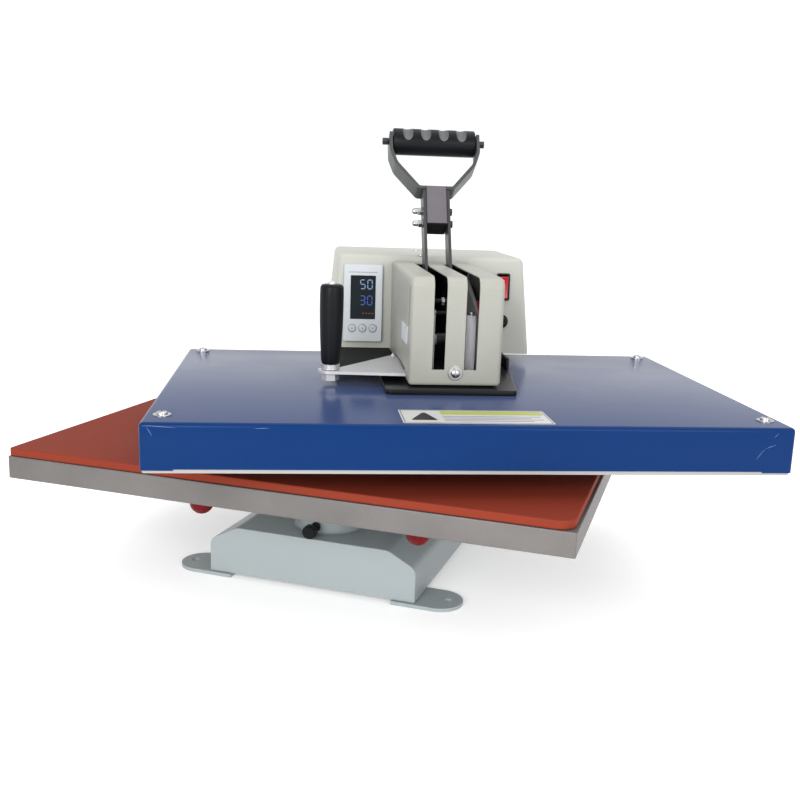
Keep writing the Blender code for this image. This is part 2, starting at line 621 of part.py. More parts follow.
def make_d_handle(lever):
    """The bent bracket and the finger grip bolted between its ends."""
    thickness = 0.004
    low = 0.194
    top = 0.276
    half_w = 0.0562
    right = [(0.0185, low), (0.0250, low + 0.003), (0.0490, 0.2265), (0.0540, 0.238),
             (half_w, 0.250), (half_w, top)]
    inner_right = [(half_w - thickness, top), (half_w - thickness, 0.251), (0.0502, 0.2395),
                   (0.0458, 0.2285), (0.0228, low + 0.0065), (0.0175, low + thickness)]
    outline = right + inner_right
    outline += [(-x, z) for x, z in reversed(inner_right)] + [(-x, z) for x, z in reversed(right)]
    half_d = 0.014
    bracket = plate("d_bracket", [outline], -half_d, half_d, "XZ", DARK_STEEL, lever)
    cut(bracket, rod("grip_bolt_hole", 0.0034, -0.08, 0.08, parent=lever,
                     location=(0, 0, GRIP_AT), axis="X", segments=16, cutter=True))
    grip_r = 0.0150
    grip = turned("d_grip", [(0.0125, 0.050), (grip_r, 0.0475), (grip_r, -0.0475),
                             (0.0125, -0.050), (0.0034, -0.050), (0.0034, 0.050)],
                  BLACK_PLASTIC, lever, (0, 0, GRIP_AT), "X", 24, ring=True)
    pitch = 0.0222
    for i in range(4):
        scallop = rod("finger_groove", 0.0062, -0.02, 0.02, parent=lever, segments=16,
                      location=((i - 1.5) * pitch, -0.016, GRIP_AT + 0.0125), cutter=True)
        scallop.rotation_euler.x = math.radians(30)
        cut(grip, scallop)
    rod_r = 0.0030
    profile = [(0, 0.0640), (0.0036, 0.0640), (0.0042, 0.0632), (0.0042, 0.0575),
               (rod_r, 0.0575), (rod_r, -0.0575), (0.0042, -0.0575), (0.0042, -0.0632),
               (0.0036, -0.0640), (0, -0.0640)]
    turned("d_grip_bolt", profile, DARK_STEEL, lever, (0, 0, GRIP_AT), "X", 16)


def make_link(link_axis, length):
    """The toggle link, hung from the crank pin, with its foot between the crosshead's ears."""
    top = arc((0, 0), 0.0078, 0, 180, 10)
    foot = arc((0, -length), 0.0060, 180, 360, 10)
    plate("toggle_link", [top + foot, circle((0, 0), 0.0043, 16)], -0.006, 0.006, "YZ",
          DARK_STEEL, link_axis)


# --- press assembly: what the lever pushes down -----------------------------------------------------
def make_press(press):
    """Mounting plate, crosshead, guide rods, blue cover, heat platen and what is inside."""
    plate_low = COVER_Z[1] + GAP
    mount = box("mounting_plate", (-0.073, -0.360, plate_low), (0.073, -0.100, PLATE_TOP),
                BLACK_PAINT, press)
    round_edges(mount, 0.0012, 1)
    flange = 0.0505
    for side, front in ((-1, -0.188), (1, -0.222)):
        low_x = flange if side > 0 else -flange - 0.004
        fin = box("plate_flange", (low_x, front, PLATE_TOP - 0.002), (low_x + 0.004, -0.132, 0.2440),
                  parent=press, cutter=True)
        join = mount.modifiers.new("flange", "BOOLEAN")
        join.operation = "UNION"
        join.object = fin
        join.solver = "EXACT"

    ear = [(-0.014, PLATE_TOP + GAP), (0.014, PLATE_TOP + GAP), (0.014, 0.2345), (0.009, 0.2535),
           (-0.009, 0.2535), (-0.014, 0.2345)]
    ear = [(y + PIVOT_Y, z) for y, z in ear]
    crosshead = plate("crosshead", [ear], -0.0117, 0.0117, "YZ", DARK_STEEL, press)
    cut(crosshead, box("crosshead_gap", (-0.0073, PIVOT_Y - 0.03, 0.2345),
                       (0.0073, PIVOT_Y + 0.03, 0.27), parent=press, cutter=True))
    for side, name in ((-1, "left"), (1, "right")):
        rod("guide_rod_" + name, 0.0035, PLATE_TOP + GAP, 0.306, STEEL, press,
            (side * GUIDE_X, GUIDE_Y, 0), segments=24)

    half = (COVER_W / 2, COVER_D / 2)
    cover = box("top_cover", (-half[0], COVER_Y - half[1], COVER_Z[0]),
                (half[0], COVER_Y + half[1], COVER_Z[1]), BLUE_PAINT, press)
    round_edges(cover, 0.0035, 2)
    cut(cover, box("cover_hollow", (-half[0] + COVER_SHEET, COVER_Y - half[1] + COVER_SHEET, 0.15),
                   (half[0] - COVER_SHEET, COVER_Y + half[1] - COVER_SHEET,
                    COVER_Z[1] - COVER_SHEET),
                   parent=press, cutter=True))
    platen_top = HEAT_PLATEN_LOW + HEAT_PLATEN_T
    element_low = platen_top + GAP
    inside = {"heat_platen": (0.300, 0.200, HEAT_PLATEN_LOW, platen_top, ALUMINIUM),
              "heating_element": (0.270, 0.170, element_low, element_low + 0.006, MICA)}
    for name, (half_w, half_d, low, high, mat) in inside.items():
        piece = box(name, (-half_w, COVER_Y - half_d, low), (half_w, COVER_Y + half_d, high),
                    mat, press)
        round_edges(piece, 0.0012, 1)


# --- assembly ------------------------------------------------------------------------------------------
def build():
    """Build every piece on its own axis, then stand the press on the origin."""
    root = empty("press_origin", (0, 0, 0))
    head = empty("head_axis", (0, REACH, 0), (0, 0, math.radians(HEAD_SWING)), root)
    face_lean = math.atan2(BOX_FRONT[1] - BOX_FRONT[0], BOX_Z[1] - BOX_Z[0])
    face = empty("control_face", (0, BOX_FRONT[0], BOX_Z[0]), (-face_lean, 0, 0), head)
    lever = empty("lever_axis", (0, PIVOT_Y, PIVOT_Z), (-math.radians(LEVER_LEAN), 0, 0), head)
    press = empty("press_slide", (0, 0, 0), parent=head)

    crank = math.radians(90 - LEVER_LEAN + CRANK_ANGLE)
    crank_y = CRANK_R * math.cos(crank)
    crank_z = CRANK_R * math.sin(crank)
    drop = PIVOT_Z + crank_z - LINK_FOOT_Z
    link = empty("link_axis", (0, PIVOT_Y + crank_y, PIVOT_Z + crank_z),
                 (math.atan2(-crank_y, drop), 0, 0), head)

    make_base(root)
    make_post(root)
    make_hub(head)
    make_frame(head)
    make_housing(head)
    make_control_box(head, face)
    make_side_handle(head)
    make_lever(lever)
    make_link(link, math.hypot(crank_y, drop))
    make_press(press)
    centre_on_origin(root)


def centre_on_origin(root):
    """Move the press so that the middle of its bounding box stands over the origin."""
    bpy.context.view_layer.update()
    graph = bpy.context.evaluated_depsgraph_get()
    xs = []
    ys = []
    for obj in press_collection.objects:
        if obj.type != "MESH":
            continue
        evaluated = obj.evaluated_get(graph)
        for vertex in evaluated.data.vertices:
            place = evaluated.matrix_world @ vertex.co
            xs.append(place.x)
            ys.append(place.y)
    root.location = (-(min(xs) + max(xs)) / 2, -(min(ys) + max(ys)) / 2, 0)


build()
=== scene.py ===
"""Looks of a swing-away heat press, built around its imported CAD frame.

Metres, +Z up.  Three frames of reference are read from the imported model: BASE stands
under the lower platen, HEAD on the post's axis with -Y towards the head's front, and
LEVER on the lever's pivot with +Z along the lever.  FACE lies on the control box's
leaning front, with +Y into the box.
"""
import json
import math

import bmesh
import bpy
from mathutils import Matrix, Vector


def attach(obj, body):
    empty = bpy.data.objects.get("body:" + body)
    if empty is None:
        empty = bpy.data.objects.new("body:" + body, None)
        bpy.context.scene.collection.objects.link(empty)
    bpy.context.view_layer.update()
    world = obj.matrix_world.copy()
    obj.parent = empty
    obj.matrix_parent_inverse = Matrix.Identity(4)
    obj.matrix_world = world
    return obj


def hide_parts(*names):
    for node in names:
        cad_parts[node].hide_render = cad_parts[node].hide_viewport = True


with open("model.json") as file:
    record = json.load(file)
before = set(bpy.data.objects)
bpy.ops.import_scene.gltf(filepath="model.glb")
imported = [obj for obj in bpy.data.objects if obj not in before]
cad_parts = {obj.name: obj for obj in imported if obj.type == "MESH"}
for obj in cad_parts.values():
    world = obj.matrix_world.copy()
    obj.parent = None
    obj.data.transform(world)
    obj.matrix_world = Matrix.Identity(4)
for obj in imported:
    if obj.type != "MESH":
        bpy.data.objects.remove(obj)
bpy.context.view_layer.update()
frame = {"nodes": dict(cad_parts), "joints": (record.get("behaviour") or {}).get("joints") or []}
GRAIN_DEPTH = 0.0002  # of a material's fine bump
ON_AXIS = 1e-7       # a turned profile's radius that counts as zero
WELD = 1e-6          # vertices closer than this are one

# --- frames of reference ---
JOINTS = {joint["name"]: joint for joint in frame["joints"]}


def extent(node, place=None):
    """Lowest and highest corner and the middle of a CAD node's box, in a frame of reference."""
    inverse = (place or Matrix.Identity(4)).inverted()
    points = [inverse @ vertex.co for vertex in frame["nodes"][node].data.vertices]
    low = Vector([min(point[i] for point in points) for i in range(3)])
    high = Vector([max(point[i] for point in points) for i in range(3)])
    return low, high, (low + high) / 2


def span(node, place=None):
    """Lowest and highest corner of a CAD node, in a frame of reference."""
    return extent(node, place)[:2]


def middle(node, place=None):
    """Middle of a CAD node's box, in a frame of reference."""
    return extent(node, place)[2]


def axes_at(origin, x_axis, z_axis):
    """A frame of reference from its origin and two of its axes."""
    y_axis = z_axis.cross(x_axis)
    turn = Matrix((x_axis, y_axis, z_axis)).transposed().to_4x4()
    return Matrix.Translation(origin) @ turn


UP = Vector((0, 0, 1))
HEAD_X = Vector(JOINTS["lever_pull"]["axis"]).normalized()
PIVOT = Vector(JOINTS["lever_pull"]["pos_m"])
platen_middle = middle("lower_platen")
post_middle = middle("swing_post")
BASE = Matrix.Translation((platen_middle.x, platen_middle.y, 0))
HEAD = axes_at(Vector((post_middle.x, post_middle.y, 0)), HEAD_X, UP)
to_grip = middle("d_grip_bolt") - PIVOT
LEVER = axes_at(PIVOT, HEAD_X, (to_grip - to_grip.dot(HEAD_X) * HEAD_X).normalized())
INWARD = Vector(JOINTS["set_button_press"]["axis"]).normalized()
fuse_at = Vector(JOINTS["fuse_cap_turn"]["pos_m"])
FACE = axes_at(fuse_at - (HEAD.inverted() @ fuse_at).x * HEAD_X, HEAD_X, HEAD_X.cross(INWARD))


# --- camera, floor and light ---
def make_camera():
    """The camera, in front and to the right, looking down on the press a little."""
    turn, dip, roll = math.radians(17.82), math.radians(11.95), math.radians(1.96)
    data = bpy.data.cameras.new("camera")
    data.lens = 43.96
    data.clip_start = 0.05
    camera = bpy.data.objects.new("camera", data)
    camera.matrix_world = (BASE @ Matrix.Translation((0.39705, -1.0208, 0.4303)) @ Matrix.Rotation(turn,
        4, "Z") @ Matrix.Rotation(math.pi / 2 - dip, 4, "X") @ Matrix.Rotation(roll, 4, "Z"))
    bpy.context.scene.collection.objects.link(camera)
    bpy.context.scene.camera = camera


def area_light(name, location, target, size, power):
    """A square soft light that looks at a target."""
    data = bpy.data.lights.new(name, "AREA")
    data.size = size
    data.energy = power
    light = bpy.data.objects.new(name, data)
    light.location = location
    light.rotation_euler = (Vector(target) - Vector(location)).to_track_quat("-Z", "Y").to_euler()
    bpy.context.scene.collection.objects.link(light)


def make_studio():
    """A white room: pale floor, white surroundings and three soft lights."""
    scene = bpy.context.scene
    scene.view_settings.view_transform = "Standard"
    world = bpy.data.worlds.new("studio")
    scene.world = world
    world.use_nodes = True
    background = world.node_tree.nodes["Background"]
    background.inputs["Color"].default_value = (1.0, 1.0, 1.0, 1.0)
    background.inputs["Strength"].default_value = 1.05
    target = (0.0, 0.0, 0.2)
    area_light("key", (-0.15, -2.3, 0.9), target, 1.1, 35)
    area_light("top", (0.2, 0.3, 2.2), target, 1.8, 15)
    area_light("side", (1.7, -1.5, 0.8), target, 1.0, 16)

    floor_mesh = bpy.data.meshes.new("floor")
    bm = bmesh.new()
    bmesh.ops.create_grid(bm, x_segments=1, y_segments=1, size=60)
    bm.to_mesh(floor_mesh)
    bm.free()
    floor = bpy.data.objects.new("floor", floor_mesh)
    floor.location.z = -0.0003
    scene.collection.objects.link(floor)
    pale = surface("pale_floor", (0.86, 0.86, 0.86), 0.8, blotch=(3, 0.004), specular=0.1)
    pale_shader = pale.node_tree.nodes["Principled BSDF"]
    pale_shader.inputs["Emission Color"].default_value = (1.0, 1.0, 1.0, 1.0)
    pale_shader.inputs["Emission Strength"].default_value = 0.30
    floor_mesh.materials.append(pale)


# --- materials ---
def surface(name, colour, roughness, metallic=0.0, grain=(700, 0.0), blotch=(9, 0.06), stretch=(1, 1, 1),
        rough_spread=0.04, specks=None, specular=0.5, sheen=0.0):
    """A procedural material.

    blotch is (scale, share) of slow colour change, grain (scale, strength) of fine bump,
    stretch squeezes the grain along an axis for brushed metal, and specks is
    (scale, share of surface, colour) of small marks.
    """
    mat = bpy.data.materials.new(name)
    mat.use_nodes = True
    tree = mat.node_tree
    shader = tree.nodes["Principled BSDF"]

    def feed(node, inputs):
        for key, value in inputs.items():
            if isinstance(value, bpy.types.NodeSocket):
                tree.links.new(value, node.inputs[key])
            else:
                node.inputs[key].default_value = value

    def made(kind, output, inputs, **settings):
        node = tree.nodes.new("ShaderNode" + kind)
        for key, value in settings.items():
            setattr(node, key, value)
        feed(node, inputs)
        return node.outputs[output]

    def clouds(scale, detail, vector):
        return made("TexNoise", "Fac", {"Scale": scale, "Detail": detail, "Vector": vector})

    place = made("TexCoord", "Object", {})
    squeezed = made("Mapping", "Vector", {"Scale": stretch, "Vector": place})
    slow = clouds(blotch[0], 5, place)
    dark = [c * (1 - blotch[1]) for c in colour]
    light = [min(1.0, c * (1 + blotch[1])) for c in colour]
    paint = made("Mix", "Result", {"Factor": slow, "A": (*dark, 1), "B": (*light, 1)}, data_type="RGBA")
    fine = clouds(grain[0], 3, squeezed)
    if specks:
        scale, share, speck_colour = specks
        marks = made("MapRange", "Result", {"From Min": 1 - share, "From Max": 1 - share * 0.8,
            "Value": clouds(scale, 4, squeezed)})
        paint = made("Mix", "Result", {"Factor": marks, "A": paint, "B": (*speck_colour, 1)},
            data_type="RGBA")
    rough = made("MapRange", "Result", {"From Min": 0.3, "From Max": 0.7,
        "To Min": max(0.0, roughness - rough_spread), "To Max": min(1.0, roughness + rough_spread),
        "Value": fine if metallic else slow})
    feed(shader, {"Base Color": paint, "Roughness": rough, "Metallic": metallic, "Sheen Weight": sheen,
        "Specular IOR Level": specular})
    if grain[1]:
        bump = made("Bump", "Normal", {"Strength": grain[1], "Distance": GRAIN_DEPTH, "Height": fine})
        feed(shader, {"Normal": bump})
    return mat


def glowing(name, colour, strength):
    """A lit part of the display or the switch."""
    mat = surface(name, [c * 0.4 for c in colour], 0.3, blotch=(300, 0.08))
    shader = mat.node_tree.nodes["Principled BSDF"]
    shader.inputs["Emission Color"].default_value = (*colour, 1)
    shader.inputs["Emission Strength"].default_value = strength
    return mat


BLUE = surface("blue_enamel", (0.0008, 0.021, 0.098), 0.20, grain=(900, 0.03), blotch=(9, 0.06),
    rough_spread=0.03, specular=0.07, sheen=0.07)
BEIGE = surface("beige_powder_coat", (0.295, 0.295, 0.263), 0.40, grain=(1100, 0.10), blotch=(11, 0.035),
    specular=0.25)
# Painted light: the box's coat is the hood's beige painted lighter, standing in for light that the hood's
# shade takes from the box.
BEIGE_PAINTED_LIGHTER = surface("beige_coat_painted_lighter", (0.410, 0.412, 0.372), 0.44, grain=(1100, 0.10), blotch=(8, 0.030),
    specular=0.2)
GREY = surface("grey_powder_coat", (0.280, 0.313, 0.320), 0.42, grain=(1100, 0.10), blotch=(8, 0.04),
    specular=0.25)
BLACK_GLOSS = surface("black_enamel", (0.008, 0.009, 0.010), 0.30, grain=(700, 0.08), blotch=(20, 0.25),
    specular=0.10)
BLACK_OXIDE = surface("black_oxide_steel", (0.040, 0.043, 0.045), 0.38, metallic=0.3, grain=(500, 0.10),
    stretch=(1, 1, 0.08), blotch=(40, 0.25), specular=0.3)
BLACK_MATT = surface("matt_black_paint", (0.010, 0.010, 0.010), 0.60, grain=(700, 0.10), blotch=(20, 0.2),
    specular=0.04)
DULL_STEEL = surface("dull_grey_steel", (0.054, 0.058, 0.058), 0.38, metallic=0.4, grain=(500, 0.14),
    stretch=(1, 1, 0.08), blotch=(40, 0.2), specular=0.3)
STEM_GREY = surface("phosphated_steel", (0.115, 0.104, 0.118), 0.46, metallic=0.4, grain=(600, 0.18),
    blotch=(60, 0.14), specks=(520, 0.30, (0.16, 0.15, 0.16)))
ALUMINIUM = surface("sawn_aluminium", (0.138, 0.129, 0.125), 0.46, metallic=0.45, grain=(420, 0.34),
    blotch=(17, 0.24), rough_spread=0.10, specks=(600, 0.36, (0.195, 0.19, 0.188)), specular=0.3)
SILICONE = surface("red_silicone_rubber", (0.185, 0.027, 0.013), 0.66, grain=(1500, 0.22),
    blotch=(7, 0.08), specks=(650, 0.28, (0.31, 0.09, 0.07)), specular=0.10)
ZINC = surface("zinc_plated_steel", (0.46, 0.46, 0.47), 0.27, metallic=1.0, grain=(900, 0.10),
    blotch=(60, 0.10), rough_spread=0.08)
SATIN_ZINC = surface("satin_zinc_plate", (0.52, 0.52, 0.53), 0.42, metallic=0.6, grain=(700, 0.16),
    blotch=(45, 0.08), stretch=(0.15, 1, 1))
GROUND_STEEL = surface("ground_steel", (0.42, 0.43, 0.46), 0.32, metallic=0.7, grain=(900, 0.20),
    stretch=(1, 1, 0.05), blotch=(50, 0.10))
PALE_STEEL = surface("pale_turned_steel", (0.90, 0.91, 0.99), 0.34, metallic=0.1, grain=(900, 0.20),
    stretch=(1, 1, 0.05), blotch=(50, 0.08))
BRONZE = surface("oiled_bronze", (0.44, 0.27, 0.12), 0.38, metallic=1.0, grain=(900, 0.15),
    blotch=(60, 0.15))
BLACK_PLASTIC = surface("black_moulded_plastic", (0.006, 0.007, 0.0085), 0.36, grain=(1300, 0.14),
    blotch=(30, 0.2), specular=0.10)
# Painted light: the finger grooves' faces are painted lighter grey for the light that falls into them
# from above.
GROOVE_PAINTED_LIGHT = surface("grip_groove_painted_light", (0.100, 0.103, 0.106), 0.55, grain=(1300, 0.22),
    blotch=(80, 0.10), specular=0.2)
WHITE_PLASTIC = surface("white_moulded_plastic", (0.50, 0.53, 0.555), 0.30, grain=(1600, 0.06),
    blotch=(40, 0.02), specular=0.3)
RED_KNOB = surface("red_moulded_plastic", (0.13, 0.003, 0.006), 0.30, grain=(900, 0.05),
    blotch=(50, 0.12), specular=0.14)
DISPLAY = surface("tinted_window", (0.008, 0.012, 0.015), 0.14, blotch=(60, 0.3), specular=0.15)
MICA = surface("mica_board", (0.60, 0.52, 0.38), 0.75, grain=(300, 0.3), blotch=(60, 0.2))
CREAM = surface("cream_insulation", (0.28, 0.28, 0.275), 0.62, grain=(500, 0.2), blotch=(30, 0.05))
PRINT_GREY = surface("grey_print", (0.14, 0.15, 0.22), 0.45, blotch=(300, 0.1))
LABEL_SILVER = surface("label_film", (0.46, 0.46, 0.45), 0.36, metallic=0.1, grain=(900, 0.1),
    blotch=(50, 0.10), specular=0.2)
LABEL_YELLOW = surface("label_header", (0.30, 0.33, 0.07), 0.42, blotch=(60, 0.12), specular=0.2)
DIGIT_PALE = glowing("digit_pale_blue", (0.16, 0.27, 0.46), 0.8)
DIGIT_BLUE = glowing("digit_blue", (0.035, 0.075, 0.34), 0.8)
LED_RED = glowing("led_dim_red", (0.16, 0.012, 0.016), 0.4)
ROCKER_RED = glowing("lit_red_rocker", (0.62, 0.012, 0.016), 0.35)
SCRATCH = surface("scratched_primer", (0.13, 0.19, 0.34), 0.5, blotch=(400, 0.2))


# --- modelling tools ---
def finish_piece(obj, mat, place, body, slot=None, node=None, sharp=32.0):
    """Shade, place and hang a new piece on its body, in place of a CAD node or as an extra."""
    mesh = obj.data
    if mat is not None:
        mesh.materials.clear()
        mesh.materials.append(mat)
        for polygon in mesh.polygons:
            polygon.material_index = 0
    mesh.shade_smooth()
    mesh.set_sharp_from_angle(angle=math.radians(sharp))
    obj.matrix_world = place
    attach(obj, body)
    if node:
        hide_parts(node)


def new_object(name, bm):
    """An object from a bmesh, its faces pointing outwards."""
    bmesh.ops.recalc_face_normals(bm, faces=bm.faces)
    mesh = bpy.data.meshes.new(name)
    bm.to_mesh(mesh)
    bm.free()
    obj = bpy.data.objects.new(name, mesh)
    bpy.context.scene.collection.objects.link(obj)
    return obj


def piece(name, bm, *finish, **hang):
    """A finished piece from a bmesh."""
    finish_piece(new_object(name, bm), *finish, **hang)


def prism(bm, front, back):
    """A solid between two matching outlines."""
    near = [bm.verts.new(point) for point in front]
    far = [bm.verts.new(point) for point in back]
    bm.faces.new(near)
    bm.faces.new(reversed(far))
    for i in range(len(near)):
        j = (i + 1) % len(near)
        bm.faces.new((near[i], far[i], far[j], near[j]))


def block(bm, low, high):
    """A block between two corners, added to a bmesh."""
    low, high = Vector(low), Vector(high)
    verts = bmesh.ops.create_cube(bm, size=1.0)["verts"]
    bmesh.ops.scale(bm, vec=high - low, verts=verts)
    bmesh.ops.translate(bm, vec=(low + high) / 2, verts=verts)


def bar(bm, centre, size):
    """A block round a point, added to a bmesh."""
    block(bm, Vector(centre) - Vector(size) / 2, Vector(centre) + Vector(size) / 2)


def lathe(bm, profile, steps=48, place=None):
    """Turn (radius, height) points round +Z; points on the axis close the ends."""
    matrix = place or Matrix.Identity(4)
    rings = []
    for radius, height in profile:
        if radius < ON_AXIS:
            rings.append([bm.verts.new(matrix @ Vector((0, 0, height)))])
            continue
        spots = [Vector((x, y, height)) for x, y in circle((0, 0), radius, steps)]
        rings.append([bm.verts.new(matrix @ spot) for spot in spots])
    for upper, lower in zip(rings, rings[1:]):
        for i in range(steps):
            j = (i + 1) % steps
            if len(upper) == 1 and len(lower) == 1:
                break
            if len(upper) == 1:
                bm.faces.new((upper[0], lower[i], lower[j]))
            elif len(lower) == 1:
                bm.faces.new((upper[i], lower[0], upper[j]))
            else:
                bm.faces.new((upper[i], lower[i], lower[j], upper[j]))
    return rings


def turned(name, profile, mat, place, body, steps=48, **hang):
    """A turned piece about its own +Z; a profile that starts off the axis is a ring."""
    bm = bmesh.new()
    if profile[0][0] > ON_AXIS:
        profile = profile + [profile[0]]
    lathe(bm, profile, steps)
    bmesh.ops.remove_doubles(bm, verts=bm.verts, dist=WELD)
    piece(name, bm, mat, place, body, **hang)


def turned_node(name, node, inner, rims, mat, place, body, steps, slot):
    """A round CAD node turned anew, with chamfers at its upper and lower rim."""
    low, high = span(node, place)
    radius = (high.x - low.x) / 2
    upper, lower = rims
    profile = [(inner, high.z), (radius - upper, high.z), (radius, high.z - upper),
        (radius, low.z + lower)]
    if lower:
        profile.append((radius - lower, low.z))
    turned(name, profile + [(inner, low.z)], mat, place, body, steps, slot=slot, node=node)


def arc(centre, radius, start, end, steps=8):
    """Points on an arc, angles in degrees, both ends included."""
    angles = [math.radians(start + (end - start) * i / steps) for i in range(steps + 1)]
    return [(centre[0] + radius * math.cos(a), centre[1] + radius * math.sin(a)) for a in angles]


def circle(centre, radius, steps=40):
    """Points round a circle."""
    return arc(centre, radius, 0, 360, steps)[:-1]


def rounded_outline(points, radius, steps=6):
    """A closed outline with its corners rounded; radius is one value or one for each corner."""
    radii = radius if isinstance(radius, (list, tuple)) else [radius] * len(points)
    outline = []
    for i, corner in enumerate(points):
        here = Vector(corner)
        before = (Vector(points[i - 1]) - here).normalized()
        after = (Vector(points[(i + 1) % len(points)]) - here).normalized()
        half = before.angle(after) / 2
        if radii[i] <= 0 or half > math.radians(89.5):
            outline.append(tuple(here))
            continue
        start = here + before * (radii[i] / math.tan(half))
        end = here + after * (radii[i] / math.tan(half))
        centre = here + (before + after).normalized() * (radii[i] / math.sin(half))
        first = (start - centre)
        sweep = first.angle_signed(end - centre)
        for k in range(steps + 1):
            turn = Matrix.Rotation(-sweep * k / steps, 2)
            outline.append(tuple(centre + turn @ first))
    return outline


def rectangle(low, high, radius, steps=6):
    """A rectangle's outline with round corners."""
    corners = [(low[0], low[1]), (high[0], low[1]), (high[0], high[1]), (low[0], high[1])]
    return rounded_outline(corners, radius, steps)


def inset_rectangle(low, high, inset, radius, steps=6):
    """The same, moved inwards on all sides."""
    return rectangle((low[0] + inset, low[1] + inset), (high[0] - inset, high[1] - inset), radius, steps)


PLANES = {
    "XY": Matrix.Identity(4),                                                # thickness along +Z
    "XZ": Matrix.Rotation(math.pi / 2, 4, "X"),                              # along -Y
    "YZ": Matrix.Rotation(math.pi / 2, 4, "Z") @ Matrix.Rotation(math.pi / 2, 4, "X"),   # along +X
}


def evaluated_mesh(obj):
    """An object's mesh with its modifiers applied."""
    bpy.context.view_layer.update()
    return bpy.data.meshes.new_from_object(obj.evaluated_get(bpy.context.evaluated_depsgraph_get()))


def curve_bmesh(curve):
    """The surface of a curve as a bmesh, its doubled vertices welded."""
    holder = bpy.data.objects.new(curve.name + "_outline", curve)
    bpy.context.scene.collection.objects.link(holder)
    bm = bmesh.new()
    bm.from_mesh(evaluated_mesh(holder))
    bpy.data.objects.remove(holder)
    bmesh.ops.remove_doubles(bm, verts=bm.verts, dist=WELD)
    return bm


def plate_object(name, outlines, start, end, plane="XY"):
    """A flat piece from an outline and its holes, between two levels across its plane."""
    curve = bpy.data.curves.new(name, "CURVE")
    curve.dimensions = "2D"
    curve.fill_mode = "BOTH"
    curve.extrude = (end - start) / 2
    for outline in outlines:
        spline = curve.splines.new("POLY")
        spline.points.add(len(outline) - 1)
        for point, (u, v) in zip(spline.points, outline):
            point.co = (u, v, 0.0, 1.0)
        spline.use_cyclic_u = True
    bm = curve_bmesh(curve)
    bmesh.ops.translate(bm, vec=(0, 0, (start + end) / 2), verts=bm.verts)
    bmesh.ops.transform(bm, matrix=PLANES[plane], verts=bm.verts)
    edges = [edge for edge in bm.edges if any(face.calc_area() > 0 for face in edge.link_faces)]
    bmesh.ops.dissolve_limit(bm, angle_limit=0.001, verts=bm.verts, edges=edges)
    return new_object(name, bm)


def plate(name, outlines, start, end, plane, mat, place, body, bevel=0.0, **hang):
    """A flat piece with softened edges, hung on its body."""
    obj = plate_object(name, outlines, start, end, plane)
    if bevel:
        soften(obj, bevel)
    finish_piece(obj, mat, place, body, **hang)


def soften(obj, width, segments=3, angle=35.0):
    """Round an object's sharp edges."""
    bevel = obj.modifiers.new("soften", "BEVEL")
    bevel.width = width
    bevel.segments = segments
    bevel.limit_method = "ANGLE"
    bevel.angle_limit = math.radians(angle)


def block_object(name, low, high):
    """A block between two corners."""
    bm = bmesh.new()
    block(bm, low, high)
    return new_object(name, bm)


def settle(obj):
    """Apply an object's modifiers to its mesh."""
    mesh = evaluated_mesh(obj)
    obj.modifiers.clear()
    obj.data = mesh


def carve(obj, cutters, operation="DIFFERENCE"):
    """Cut, or join, other objects into this one, and remove them."""
    for cutter in cutters:
        boolean = obj.modifiers.new("carve", "BOOLEAN")
        boolean.operation = operation
        boolean.object = cutter
        boolean.solver = "EXACT"
        boolean.material_mode = "TRANSFER"
    settle(obj)
    for cutter in cutters:
        bpy.data.objects.remove(cutter)


def joined(name, objects):
    """Several loose objects as one mesh."""
    bm = bmesh.new()
    for obj in objects:
        bm.from_mesh(evaluated_mesh(obj))
        bpy.data.objects.remove(obj)
    return new_object(name, bm)


def keep(node, mat, bevel=0.0):
    """Keep a CAD node's shape, with a better material and softened edges."""
    obj = frame["nodes"][node]
    obj.data.materials.clear()
    obj.data.materials.append(mat)
    if bevel:
        weld = obj.modifiers.new("weld", "WELD")
        weld.merge_threshold = 0.00001
        soften(obj, bevel, 2)


def at(place, x=0.0, y=0.0, z=0.0, axis="Z"):
    """A place in a frame of reference whose own +Z points along an axis of that frame."""
    turn, about = {"Z": (0, "X"), "-Z": (180, "X"), "X": (90, "Y"), "-X": (-90, "Y"), "-Y": (90, "X"),
        "Y": (-90, "X")}[axis]
    return place @ Matrix.Translation((x, y, z)) @ Matrix.Rotation(math.radians(turn), 4, about)


# --- screws and nuts ---
def pan_screw(name, place, radius, height, washer=0.0, node=None, body="head"):
    """A pan head screw with a cross recess, on a washer."""
    low = 0.0012 if washer else 0.0
    dome = []
    for degrees in range(0, 91, 10):
        angle = math.radians(degrees)
        dome.append((radius * math.sin(angle), low + height * (0.35 + 0.65 * math.cos(angle))))
    bm = bmesh.new()
    lathe(bm, dome + [(radius, low), (0, low)], 32)
    head = new_object(name, bm)
    long, wide = radius * 0.55, radius * 0.11
    slots = [block_object("slot", (-long, -wide, low + height * 0.55), (long, wide, low + height * 2)) for
        _ in range(2)]
    slots[1].rotation_euler.z = math.pi / 2
    carve(head, slots)
    parts = [head]
    if washer:
        bm = bmesh.new()
        lathe(bm, [(0, low), (washer - 0.0004, low), (washer, low - 0.0004), (washer, 0), (0, 0)], 40)
        parts.append(new_object("washer", bm))
    finish_piece(joined(name, parts), ZINC, place, body, slot="bright_steel", node=node)


def hexagon(bm, across, low, high, place=None):
    """A hexagon prism with chamfered corners."""
    radius = across / math.sqrt(3)
    rim = across / 2 * 0.97
    matrix = place or Matrix.Identity(4)
    rings = []
    for size, height in ((rim, low), (radius, low + 0.0005), (radius, high - 0.0005), (rim, high)):
        spots = [Vector((x, y, height)) for x, y in circle((0, 0), size, 6)]
        rings.append([bm.verts.new(matrix @ spot) for spot in spots])
    for lower, upper in zip(rings, rings[1:]):
        for i in range(6):
            bm.faces.new((lower[i], lower[(i + 1) % 6], upper[(i + 1) % 6], upper[i]))
    bm.faces.new(rings[0])
    bm.faces.new(rings[-1])


